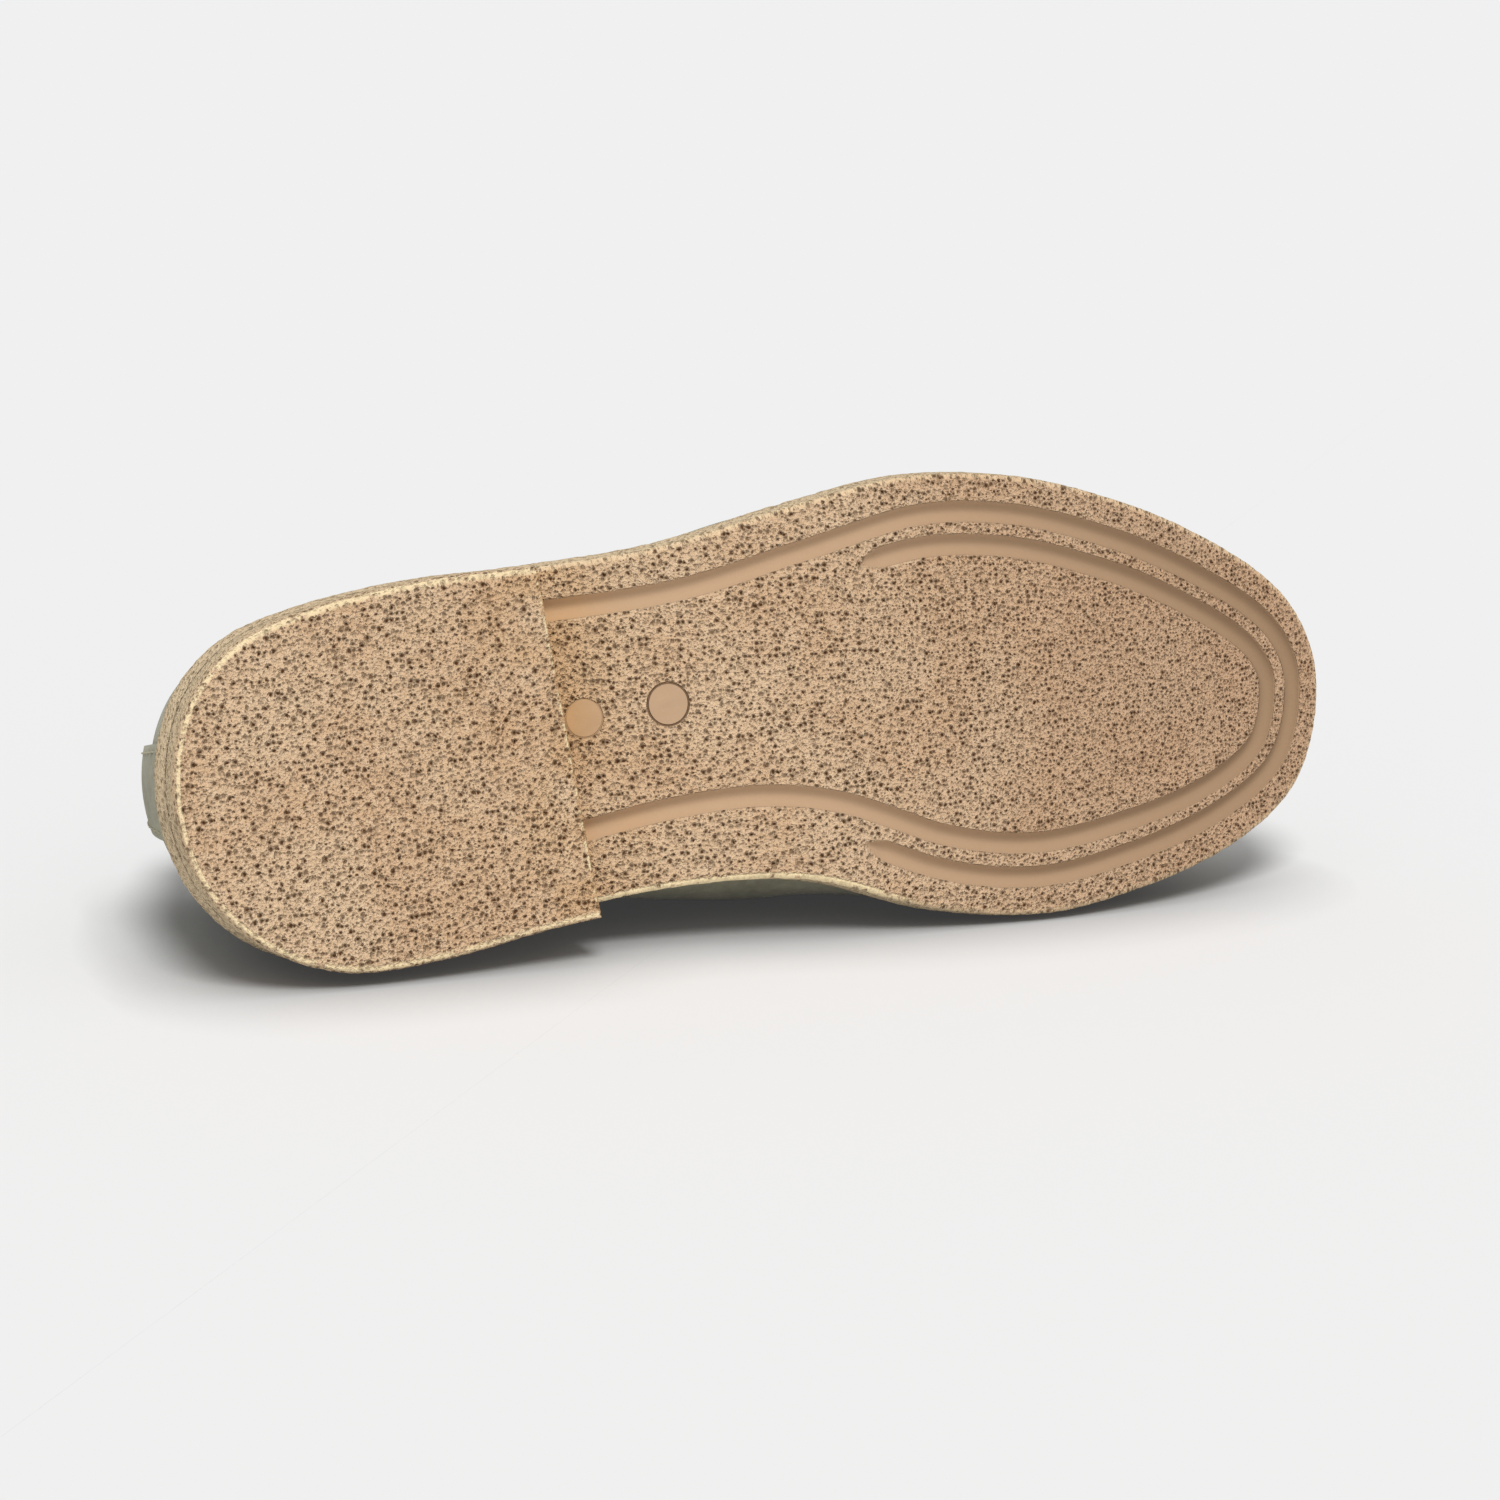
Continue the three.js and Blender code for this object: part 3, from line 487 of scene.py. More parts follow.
def stepped(tree, value, low, high, to_low=0.0, to_high=1.0):
    """Soft step of a value from to_low at low to to_high at high."""
    inputs = {0: value, 1: low, 2: high, 3: to_low, 4: to_high}
    return node(tree, "ShaderNodeMapRange", inputs, interpolation_type="SMOOTHSTEP").outputs[0]


def noise(tree, place, scale, detail=2.0, rough=0.5):
    """Cloudy noise around a half, with so many lumps to a millimetre."""
    inputs = {"Vector": place, "Scale": scale, "Detail": detail, "Roughness": rough}
    return node(tree, "ShaderNodeTexNoise", inputs)


def new_material(name):
    """An empty material: its tree, its Principled shader, and the place on the object in millimetres."""
    made = bpy.data.materials.new(name)
    made.use_nodes = True
    tree = made.node_tree
    shader = tree.nodes["Principled BSDF"]
    shader.inputs["Specular IOR Level"].default_value = 0.3
    place = node(tree, "ShaderNodeTexCoord").outputs["Object"]
    scaled = node(tree, "ShaderNodeVectorMath", {0: place, "Scale": 1000.0}, operation="SCALE")
    return made, tree, shader, scaled.outputs[0]


def new_group(name, inputs, outputs):
    """A node group with its named sockets: its tree, its input node and its output node."""
    tree = bpy.data.node_groups.new(name, "ShaderNodeTree")
    for key, kind, value in inputs:
        socket = tree.interface.new_socket(key, in_out="INPUT", socket_type=kind)
        if kind == "NodeSocketFloat":
            socket.default_value = value
    for key, kind in outputs:
        tree.interface.new_socket(key, in_out="OUTPUT", socket_type=kind)
    return tree, tree.nodes.new("NodeGroupInput").outputs, tree.nodes.new("NodeGroupOutput").inputs


# %% [markdown]
# ## Crepe rubber
# Crepe is raw latex, curdled and pressed, so it is full of small round bubbles. Where the surface
# cuts one, a pit is left, half a millimetre to a millimetre wide, and between the pits the
# skin is dimpled. The pits are the cells of a Voronoi pattern, each with its own size and depth,
# and the shade inside each pit is painted into the colour as a dark brown core.
# They are laid out on the sole as if its side were folded flat, so that they stay round on the
# wall too, and they grow smaller towards the toe: the mesh carries that layout, counted in pits.

# %% Layout of the pits
PIT_SPACING_HEEL, PIT_SPACING_TOE = 1.5, 1.22
SHRINK_FROM, SHRINK_TO = 110.0, 260.0


def pit_spacing(x):
    """Middle distance from pit to pit in millimetres: wide at the heel, easing down to the toe."""
    return mix(PIT_SPACING_HEEL, PIT_SPACING_TOE, ease((x - SHRINK_FROM) / (SHRINK_TO - SHRINK_FROM)))


def pit_layout(plan):
    """Masks across and along, in pits: the sum of dx over the spacing, and y over the spacing."""
    steps = np.linspace(-40, SOLE_LENGTH + 40, 1500)
    counts = np.cumsum((steps[1] - steps[0]) / pit_spacing(steps))
    x = np.interp(plan[..., 0], steps, counts)
    return {"pits_along": x, "pits_across": plan[..., 1] / pit_spacing(plan[..., 0])}


print("pits along the sole:", round(float(pit_layout(np.array([[SOLE_LENGTH, 0.0]]))["pits_along"][0])))


# %% Bubbles group
def make_bubbles():
    """Core goes to 1 in the middle of a deep pit, where the painted shade is darkest; Depth is a bell
    over the pit, from its rim at share 1 of the radius to its floor, in millimetres."""
    tree, given, result = new_group(
        "bubbles",
        [
            ("Layout", "NodeSocketVector", None),
            ("Per_pit", "NodeSocketFloat", 1.0),
            ("Radius", "NodeSocketFloat", 0.4),
            ("Depth", "NodeSocketFloat", 0.5),
        ],
        [("Core", "NodeSocketFloat"), ("Depth", "NodeSocketFloat")],
    )
    warp = noise(tree, given["Layout"], 1.7, 1.0).outputs["Color"]
    half = (0.5, 0.5, 0.5)
    moved = vectors(tree, "MULTIPLY_ADD", vectors(tree, "SUBTRACT", warp, half), half, given["Layout"])
    cells = node(
        tree, "ShaderNodeTexVoronoi",
        {"Vector": moved, "Scale": given["Per_pit"], "Randomness": 0.92}, voronoi_dimensions="2D",
    )
    chances = node(tree, "ShaderNodeSeparateColor", {0: cells.outputs["Color"]}).outputs
    size = sums(tree, "MULTIPLY_ADD", chances[0], 0.55, 0.45)
    share = sums(tree, "DIVIDE", cells.outputs["Distance"], sums(tree, "MULTIPLY", size, given["Radius"]))
    deep = sums(tree, "MULTIPLY_ADD", chances[1], 0.8, 0.2)
    dark = stepped(tree, chances[1], 0.1, 0.8)
    tree.links.new(sums(tree, "MULTIPLY", stepped(tree, share, 0.78, 0.3), dark), result["Core"])
    bell = sums(tree, "MULTIPLY", stepped(tree, share, 1.2, 0.2), sums(tree, "MULTIPLY", deep, size))
    tree.links.new(sums(tree, "MULTIPLY", bell, given["Depth"]), result["Depth"])
    return tree


bubbles = make_bubbles()


def bubble_nodes(tree, layout, per_pit, radius, depth):
    """The bubbles group in a material's tree."""
    made = node(tree, "ShaderNodeGroup")
    made.node_tree = bubbles
    tree.links.new(layout, made.inputs["Layout"])
    for key, value in (("Per_pit", per_pit), ("Radius", radius), ("Depth", depth)):
        made.inputs[key].default_value = value
    return made.outputs


def mask_value(tree, name):
    """A mask that the mesh carries."""
    return node(tree, "ShaderNodeAttribute", attribute_name=name).outputs["Fac"]


# %% Crepe material
# Span of the painted shade that darkens the sole towards the toe, in millimetres along x.
TOE_SHADE_STARTS, TOE_SHADE_ENDS = -30.0, 140.0


def add_disc(tree, place, calm, centre, radius):
    """Calm with a smooth round boss added, and the distance from the boss's rim."""
    inputs = {0: place, 1: tuple(1000 * to_floor(np.array(centre)))}
    off = node(tree, "ShaderNodeVectorMath", inputs, operation="DISTANCE").outputs["Value"]
    rim = sums(tree, "ABSOLUTE", sums(tree, "SUBTRACT", off, radius))
    return sums(tree, "MAXIMUM", calm, stepped(tree, off, radius + 0.2, radius)), rim


def make_crepe(name, discs=()):
    """Tan rubber with large and small pits, their shade painted dark, left smooth where the mask or a disc
    says so.
    """
    material, tree, shader, place = new_material(name)
    axes = {0: mask_value(tree, "pits_along"), 1: mask_value(tree, "pits_across")}
    layout = node(tree, "ShaderNodeCombineXYZ", axes).outputs[0]
    large = bubble_nodes(tree, layout, 1.0, 0.5, 0.8)
    shifted = vectors(tree, "ADD", layout, (31.7, 12.3, 0.0))
    small = bubble_nodes(tree, shifted, 1.6, 0.42, 0.4)
    calm = mask_value(tree, "calm")
    lines = 0.0
    for centre, radius, incised in discs:
        calm, rim = add_disc(tree, place, calm, centre, radius)
        lines = sums(tree, "MULTIPLY_ADD", stepped(tree, rim, 0.34, 0.08), incised, lines)
    edge = mask_value(tree, "side")
    # Painted highlight along the edges of sole and heel, broken up by noise; the same mask also smooths away
    # the pits there.
    nicks = stepped(tree, noise(tree, place, 0.4, 2.0).outputs[0], 0.3, 0.45)
    rim = sums(tree, "MULTIPLY", mask_value(tree, "rim"), nicks)
    quiet = sums(tree, "MAXIMUM", calm, sums(tree, "MULTIPLY", edge, 0.5))
    busy = sums(tree, "SUBTRACT", 1.0, sums(tree, "MAXIMUM", quiet, sums(tree, "MULTIPLY", rim, 0.85)))
    faint = sums(tree, "MULTIPLY", small["Core"], 0.6)
    pits = sums(tree, "MULTIPLY", sums(tree, "MAXIMUM", large["Core"], faint), busy)
    # The incised ring round a disc takes the same painted shade as the pits.
    pits = sums(tree, "MAXIMUM", pits, sums(tree, "MULTIPLY", lines, 0.7))

    cloud = noise(tree, place, 0.035, 3.0).outputs[0]
    mottle = noise(tree, place, 0.5, 3.0).outputs[0]
    peel = noise(tree, layout, 2.1, 2.0, 0.6).outputs[0]
    base = blended(tree, stepped(tree, cloud, 0.35, 0.65), light(224, 187, 149), light(232, 199, 162))
    flecks = sums(tree, "MULTIPLY", stepped(tree, mottle, 0.4, 0.7), 0.35)
    base = blended(tree, flecks, base, light(248, 219, 184))
    # Painted shade: the sole and its smooth grooves and discs turn darker towards the toe.
    along = node(tree, "ShaderNodeSeparateXYZ", {0: place}).outputs[0]
    toe_shade = stepped(tree, along, TOE_SHADE_STARTS, TOE_SHADE_ENDS)
    base = blended(tree, sums(tree, "MULTIPLY", toe_shade, 0.55), base, light(205, 163, 130))
    calm_tone_toe_shaded = blended(tree, toe_shade, light(186, 156, 126), light(155, 128, 101))
    base = blended(tree, sums(tree, "MULTIPLY", calm, 0.9), base, calm_tone_toe_shaded)
    base = blended(tree, sums(tree, "MULTIPLY", edge, 0.8), base, light(220, 200, 166))
    # A darker orange tint in the corner in front of the heel's breast, with browner pits.
    stain = mask_value(tree, "stain")
    base = blended(tree, sums(tree, "MULTIPLY", stain, 0.85), base, light(208, 158, 98))
    # Painted highlight: a pale cream line along the edges.
    base = blended(tree, rim, base, light(250, 228, 184))
    # Painted shade: a deep brown mixed in where the pits and the incised ring lie.
    pit_shade_colour = blended(tree, stain, light(84, 44, 6), light(88, 44, 5))
    coloured = blended(tree, sums(tree, "MULTIPLY", pits, 0.95), base, pit_shade_colour)
    tree.links.new(coloured, shader.inputs["Base Color"])

    sunk = sums(tree, "ADD", large["Depth"], small["Depth"])
    height = sums(tree, "MULTIPLY", sunk, sums(tree, "MULTIPLY", busy, -1.0))
    height = sums(tree, "MULTIPLY_ADD", peel, sums(tree, "MULTIPLY_ADD", busy, 0.5, 0.02), height)
    height = sums(tree, "MULTIPLY_ADD", lines, -0.3, height)
    bump = node(tree, "ShaderNodeBump", {"Height": height, "Distance": 0.0024, "Strength": 1.0})
    tree.links.new(bump.outputs[0], shader.inputs["Normal"])
    shader.inputs["Roughness"].default_value = 0.78
    shader.inputs["Specular IOR Level"].default_value = 0.0
    return material


RING_DISC = (116.2, -9.2, 4.85, 1.0)
PLAIN_DISC = (96.6, -7.7, 4.4, 0.25)
on_sole = [
    ((x, y, underside_at(np.array(x))), radius, incised)
    for x, y, radius, incised in (RING_DISC, PLAIN_DISC)
]
crepe_sole = make_crepe("crepe_sole", on_sole)
crepe_heel = make_crepe("crepe_heel")

# %% [markdown]
# ## The outsole
# One plate of crepe, moulded with two coves that follow its edge round the forepart. The mesh
# follows them too: its loops run round the shoe at chosen distances from the edge, close together
# across each cove, so that their lips stay clean. Inside the last loop, rows close the middle.

# %% Outsole
SOLE_STATIONS = 940


def groove_share(t, starts, ends):
    """Size of a groove at t: 1 along it, rounded down to nothing over a groove's width at each end."""
    end_run = GROOVE_WIDTH / SOLE_LENGTH
    to_end = np.minimum(t - starts, ends - t)
    return np.sqrt(np.clip(0.02 + to_end / (2 * end_run), 0, 1)) * (to_end > -0.04 * end_run)


def groove_dip(away, size):
    """Depth of the cove at a distance from its middle: an ellipse with a rounded lip."""
    half = np.maximum(GROOVE_WIDTH / 2 * size, 1e-6)
    inside = np.clip(1 - (away / half) ** 2, 0, 1)
    return GROOVE_DEPTH * size * inside**0.72


def cove_reach(away, size):
    """Distance from a cove's middle as a share of its half width there."""
    return np.where(size > 0.03, np.abs(away) / (GROOVE_WIDTH / 2 * np.maximum(size, 1e-3)), 9.0)


def sole_underside(t, inset, outer, inner, outer_size, inner_size):
    """Point of the underside and how far it lies in a groove, from 0 outside to 1."""
    plan, _ = inset_point(t, inset)
    dip = groove_dip(inset - outer, outer_size) + groove_dip(inset - inner, inner_size)
    to_cove = np.minimum(cove_reach(inset - outer, outer_size), cove_reach(inset - inner, inner_size))
    calm = ease((1.12 - to_cove) / 0.14)
    flat = lifted(plan, underside_at(plan[..., 0]))
    rough = 0.16 * lumps(flat, 3.1, 1) + 0.12 * lumps(flat, 1.7, 2)
    flat[..., 2] += dip - rough * (1 - calm)
    return flat, calm


def breast_x(y, gap=0.0):
    """Place of the heel's front across the shoe: a slanted straight line."""
    slant = (HEEL_BREAST_MEDIAL - HEEL_BREAST_LATERAL) * SOLE_LENGTH
    return HEEL_BREAST_LATERAL * SOLE_LENGTH + gap + slant * (0.5 + y / BALL_WIDTH)


def breast_corner_tint_at(points):
    """Darker orange tint in the corner in front of the heel, fading over two centimetres."""
    ahead = points[..., 0] - breast_x(points[..., 1])
    patchy = 0.65 + 0.5 * lumps(points, 9.0, 5)
    return np.clip(patchy * np.exp(-np.maximum(ahead, 0) / 9.0), 0, 1) * (ahead > -3)


def painted_edge_highlight(t, away):
    """Painted highlight along the sole's edge: a band at the waist's inner side, a thin line elsewhere."""
    along = along_of(folded(t))
    waist = ease((along - 0.3) / 0.04) * ease((0.6 - along) / 0.06) * (t <= np.pi)
    return mix(0.3, 1.0, waist) * ease((mix(0.2, 0.5, waist) - away) / 0.4)


def ragged(points, outward, amount=0.13):
    """Edge of the crepe: pushed in and out by small lumps, because pits break it."""
    push = amount * (lumps(points, 1.1, 8) + 0.4 * lumps(points, 2.9, 9))
    return points + outward * push[..., None]


def make_outsole():
    """Loops from the top edge over the side and the bevel to the middle of the underside."""
    t = np.arange(SOLE_STATIONS)[:, None] * TURN / SOLE_STATIONS
    outer = outer_inset_at(folded(t)) * BALL_WIDTH
    inner = by_side(inner_inset_at, t) * BALL_WIDTH
    outer_size = groove_share(t, angle_of(OUTER_GROOVE_ENDS), TURN - angle_of(HEEL_BREAST_LATERAL - 0.02))
    inner_size = groove_share(t, angle_of(HEEL_BREAST_MEDIAL - 0.02), TURN - angle_of(INNER_GROOVE_ENDS))
    half = 1.08 * GROOVE_WIDTH / 2
    start = EDGE_BEVEL + SIDE_FLARE
    cove = np.array([-1, -0.93, -0.85, -0.72, -0.55, -0.36, -0.18, 0, 0.18, 0.36, 0.55, 0.72, 0.85, 0.93, 1])
    inset = np.concatenate([
        start + np.array([[0, 0.45, 0.9]]) + 0 * outer,
        mix(start + 0.9, outer - half, np.linspace(0, 1, 8)[None, 1:-1]),
        outer + half * cove[None],
        mix(outer + half, inner - half, np.linspace(0, 1, 5)[None, 1:-1]),
        inner + half * cove[None],
        inner + half + np.array([[0.5, 1.0, 1.6]]),
    ], axis=1)
    under, calm = sole_underside(t, inset, outer, inner, outer_size, inner_size)

    arc = np.linspace(0, np.pi / 2, 5)[1:]
    wall_up = np.concatenate([1 - np.cos(arc), np.linspace(1, 4.2, 6)[1:]]) * EDGE_BEVEL
    side_in = np.concatenate([SIDE_FLARE + EDGE_BEVEL * (1 - np.sin(arc)), np.linspace(SIDE_FLARE, 0.1, 5)])
    top_arc = np.linspace(0, np.pi / 2, 4)
    side_in = np.concatenate([side_in, EDGE_BEVEL / 2 * (1 - np.cos(top_arc))])[None, ::-1]
    plan, outward = inset_point(t, side_in)
    low = underside_at(plan[..., 0])
    high = SOLE_THICKNESS - EDGE_BEVEL / 2 * (1 - np.sin(top_arc))
    up = np.concatenate([wall_up, high])[None, ::-1]
    side = lifted(plan, low + up)
    outward = lifted(outward, np.zeros(outward.shape[:-1]))
    rough = ragged(side, np.broadcast_to(outward, side.shape))
    rough[:, :2], rough[:, -1] = side[:, :2], under[:, 0]
    step = np.linalg.norm(np.diff(side[0, ::-1], axis=0), axis=-1)
    unrolled = start - np.concatenate([[0], np.cumsum(step)])[::-1]
    folded_out = pit_layout(inset_point(t, unrolled[None])[0])

    loop = under[:, -1]
    columns = 46
    half_way = SOLE_STATIONS // 2
    rows = np.arange(half_way + 1)
    medial, lateral = loop[rows], loop[-rows]
    w = np.linspace(0, 1, columns + 1)[None, :, None]
    middle = mix(medial[:, None], lateral[:, None], w)
    inner_rough = 0.16 * lumps(lifted(middle[..., :2], underside_at(middle[..., 0])), 3.1, 1)
    inner_rough += 0.12 * lumps(lifted(middle[..., :2], underside_at(middle[..., 0])), 1.7, 2)
    middle[1:-1, 1:-1, 2] = (underside_at(middle[..., 0]) - inner_rough)[1:-1, 1:-1]
    top = rough[:, 0]
    cap = mix(top[rows][:, None], top[-rows][:, None], np.linspace(0, 1, 4)[None, :, None])
    cap[1:-1, 1:-1, 2] = sole_top_at(cap[1:-1, 1:-1, 0])
    return skin(
        "crepe_outsole",
        [
            grid(rough, closed=True, side=ease((start - unrolled) / 1.4)[None],
                 rim=painted_edge_highlight(t, np.abs(start - unrolled - 0.6)[None] - 0.6), **folded_out),
            grid(under, closed=True, calm=calm, rim=painted_edge_highlight(t, inset - start),
                 stain=breast_corner_tint_at(under), **pit_layout(under)),
            grid(middle, stain=breast_corner_tint_at(middle), **pit_layout(middle)),
            grid(cap, side=0.6, **pit_layout(cap)),
        ],
        crepe_sole,
        replaced="outsole",
    )


outsole = make_outsole()

# %% [markdown]
# ## The heel
# A second block of the same crepe under the rear. Its front, the breast, is cut straight and
# slanted, and stands a little proud of the waist at its inner corner. Each level of the block is a
# loop: round the back along the sole's own outline, then straight along the breast.

# %% Heel
HEEL_STATIONS = 421


def heel_flare(t):
    """How far the block stands out past the sole towards its inner front corner."""
    reach = (along_of(folded(t)) - 0.2) / (HEEL_BREAST_MEDIAL - 0.2)
    return np.where(t <= np.pi, HEEL_CORNER_FLARE * ease(reach), 0)


def heel_line(inset, pull):
    """Loop of the block's plan, inset from the outline; the breast is pulled back by pull."""
    t = np.linspace(-2.2, 2.2, 4001)
    around = np.mod(t, TURN)
    plan, outward = inset_point(around, inset - heel_flare(around))
    behind = plan[:, 0] - breast_x(plan[:, 1], -pull)
    first, last = (np.argmax(behind < 0), len(t) - 1 - np.argmax(behind[::-1] < 0))
    starts = np.interp(0, [behind[first], behind[first - 1]], [t[first], t[first - 1]])
    ends = np.interp(0, [behind[last], behind[last + 1]], [t[last], t[last + 1]])
    steps = np.linspace(starts, ends, HEEL_STATIONS)
    around = np.mod(steps, TURN)
    plan, outward = inset_point(around, inset - heel_flare(around))
    return plan, outward


def make_heel():
    """Levels of the loop from the seat against the sole down the side and round the bevel."""
    arc = np.linspace(0, np.pi / 2, 6)
    bevel_in = EDGE_BEVEL * (1 - np.cos(arc))
    bevel_up = EDGE_BEVEL * (1 - np.sin(arc))
    breast_in = 0.45 * (1 - np.cos(arc))
    breast_up = 0.45 * (1 - np.sin(arc))
    shares = np.linspace(0, 1, 7)[:-1]
    rings, fronts, layouts = [], [], []
    columns = 90
    for k in range(len(shares) + len(arc)):
        if k < len(shares):
            inset, pull = mix(SIDE_FLARE / 2, 0, shares[k]), 0.0
        else:
            inset, pull = bevel_in[k - len(shares)], breast_in[k - len(shares)]
        plan, outward = heel_line(inset, pull)
        line = mix(plan[-1], plan[0], np.linspace(0, 1, columns + 1)[:, None])
        top = underside_at(plan[:, 0]) - SEAT
        front_top = underside_at(line[:, 0]) - SEAT
        if k < len(shares):
            up = mix(top, EDGE_BEVEL, shares[k])
            front_up = mix(front_top, 0.45, shares[k])
        else:
            up = np.full(len(plan), bevel_up[k - len(shares)])
            front_up = np.full(len(line), breast_up[k - len(shares)])
        near = ease(np.arange(len(up)) / 8) * ease(np.arange(len(up))[::-1] / 8)
        up = mix(np.where(np.arange(len(up)) < len(up) / 2, front_up[-1], front_up[0]), up, near)
        side = lifted(plan, up)
        if 0 < k < len(shares) + len(arc) - 1:
            side = mix(side, ragged(side, lifted(outward, np.zeros(len(plan)))), (near * 1.0)[:, None])
        rings.append(side)
        fronts.append(lifted(line, front_up))
        layouts.append(pit_layout(plan + outward * up[:, None]))
    sides, breast = np.stack(rings, 1), np.stack(fronts, 1)

    def face(border, front, height, rough):
        """Rows between the two halves of the border; the last row is the breast's own line."""
        half = HEEL_STATIONS // 2
        outer, inner = border[: half + 1][::-1], border[half:]
        w = np.linspace(0, 1, columns + 1)[None, :, None]
        made = mix(inner[:, None], outer[:, None], w)
        made[1:, 1:-1, 2] = height(made[1:, 1:-1, 0])
        if rough:
            flat = lifted(made[..., :2], np.zeros(made.shape[:2]))
            made[1:, 1:-1, 2] += (0.16 * lumps(flat, 3.1, 3) + 0.12 * lumps(flat, 1.7, 4))[1:, 1:-1]
            made[:, 1:-1, 2] = np.maximum(made[:, 1:-1, 2], 0.0)
        made[-1] = front
        return made

    tread = face(sides[:, -1], breast[:, -1], lambda x: np.zeros_like(x) + 0.02, True)
    seat = face(sides[:, 0], breast[:, 0], lambda x: underside_at(x) - SEAT, False)
    ahead = breast_x(tread[..., 1]) - tread[..., 0]
    stain = 0.45 * np.exp(-np.maximum(ahead, 0) / 14.0) * np.clip(0.6 + lumps(tread, 8.0, 6), 0, 1)
    fade = np.clip(np.linspace(1.5, 0, sides.shape[1]), 0, 1)
    unrolled = {key: np.stack([layout[key] for layout in layouts], 1) for key in layouts[0]}
    across = np.linspace(0, 1, columns + 1)[None]
    span = np.linalg.norm(tread[:, -1] - tread[:, 0], axis=-1)[:, None]
    to_side = np.minimum(across, 1 - across) * span
    # Painted highlight along the tread's sides and in front of the breast, and on the lower bevel of the
    # side.
    lip = np.maximum(0.8 * ease((0.5 - to_side) / 0.4), ease((1.15 - ahead) / 0.35))
    bevel = 0.8 * np.clip(np.arange(sides.shape[1]) - len(shares) - 2, 0, 1)
    return skin(
        "crepe_heel_block",
        [
            grid(sides, side=fade[None], rim=bevel[None], **unrolled),
            grid(breast, side=fade[None] * 0.6, calm=0.35, stain=0.5, **pit_layout(breast + breast[..., 2:])),
            grid(tread, stain=stain, rim=lip, **pit_layout(tread)),
            grid(seat, **pit_layout(seat)),
        ],
        crepe_heel,
        replaced="heel",
    )


heel = make_heel()

# %% [markdown]
# ## Suede
# Suede is the flesh side of a hide, buffed to a nap. It is matt, a little paler where it is seen
# aslant, and brushed patches lean one way or the other, so its tone drifts in soft clouds. The
# Principled shader's sheen gives the pale edge; noise at three sizes gives clouds, nap and fibres.

# %% Suede
def make_nap():
    """Tone goes from 0 to 1 over brushed clouds and fibres; Height is the nap's in millimetres."""
    tree, given, result = new_group(
        "nap",
        [("Place", "NodeSocketVector", None)],
        [("Tone", "NodeSocketFloat"), ("Height", "NodeSocketFloat")],
    )
    cloud = noise(tree, given["Place"], 0.05, 3.0).outputs[0]
    brushed = noise(tree, given["Place"], 0.4, 4.0, 0.6).outputs[0]
    fibres = noise(tree, given["Place"], 3.2, 4.0, 0.7).outputs[0]
    patches = sums(tree, "MULTIPLY", stepped(tree, brushed, 0.3, 0.7), 0.35)
    tone = sums(tree, "MULTIPLY_ADD", stepped(tree, cloud, 0.35, 0.65), 0.4, patches)
    tone = sums(tree, "MULTIPLY_ADD", stepped(tree, fibres, 0.3, 0.7), 0.25, tone)
    height = sums(tree, "MULTIPLY_ADD", fibres, 0.16, sums(tree, "MULTIPLY", brushed, 0.2))
    tree.links.new(tone, result["Tone"])
    tree.links.new(height, result["Height"])
    return tree


nap = make_nap()


def make_suede(name, deep, pale):
    """Suede between a deep and a pale tone, with painted shade in the creases that the mesh marks."""
    material, tree, shader, place = new_material(name)
    group = node(tree, "ShaderNodeGroup")
    group.node_tree = nap
    tree.links.new(place, group.inputs[0])
    base = blended(tree, group.outputs["Tone"], light(*deep), light(*pale))
    # Painted shade: the deep tone darkened further in the creases of the pleats and the seam.
    crease_shade = sums(tree, "MULTIPLY", mask_value(tree, "crease"), 0.55)
    base = blended(tree, crease_shade, base, light(*(0.62 * np.array(deep))))
    tree.links.new(base, shader.inputs["Base Color"])
    relief = {"Height": group.outputs["Height"], "Distance": 0.001, "Strength": 0.9}
    bump = node(tree, "ShaderNodeBump", relief)
    tree.links.new(bump.outputs[0], shader.inputs["Normal"])
    shader.inputs["Roughness"].default_value = 0.95
    shader.inputs["Specular IOR Level"].default_value = 0.1
    shader.inputs["Sheen Weight"].default_value = 0.25
    shader.inputs["Sheen Roughness"].default_value = 0.6
    return material


suede = make_suede("sage_suede", (128, 126, 102), (166, 162, 136))
suede_edge = make_suede("sage_binding", (112, 110, 88), (146, 142, 117))


def make_leather(name, deep, pale, grain=0.9):
    """Smooth vegetable-tanned leather: fine pores, soft clouds and a low gloss."""
    material, tree, shader, place = new_material(name)
    cloud = noise(tree, place, 0.06, 3.0).outputs[0]
    pores = node(tree, "ShaderNodeTexVoronoi", {"Vector": place, "Scale": grain}).outputs["Distance"]
    coloured = blended(tree, stepped(tree, cloud, 0.3, 0.7), light(*deep), light(*pale))
    tree.links.new(coloured, shader.inputs["Base Color"])
    bump = node(tree, "ShaderNodeBump", {"Height": pores, "Distance": 0.00012, "Strength": 0.6})
    tree.links.new(bump.outputs[0], shader.inputs["Normal"])
    shader.inputs["Roughness"].default_value = 0.6
    return material


lining_leather = make_leather("tan_lining", (180, 146, 106), (206, 174, 134))
insole_leather = make_leather("tan_insole", (172, 136, 96), (198, 164, 122), 1.3)

# %% [markdown]
# ## The upper
# The wall rises from the sole and, round the toes, is gathered into a raised seam against the flat
# apron on top: the mark of a moccasin. The wall is longer than the seam that takes it up, so it
# puckers into small even pleats. Behind the throat the wall ends in the top line.

# %% Upper
UPPER_STATIONS = 84 * 8
THROAT_STATION = 23 * 8
PLEAT_PITCH = 6.4
upper_t = np.arange(UPPER_STATIONS) * TURN / UPPER_STATIONS
throat_angle = upper_t[THROAT_STATION]


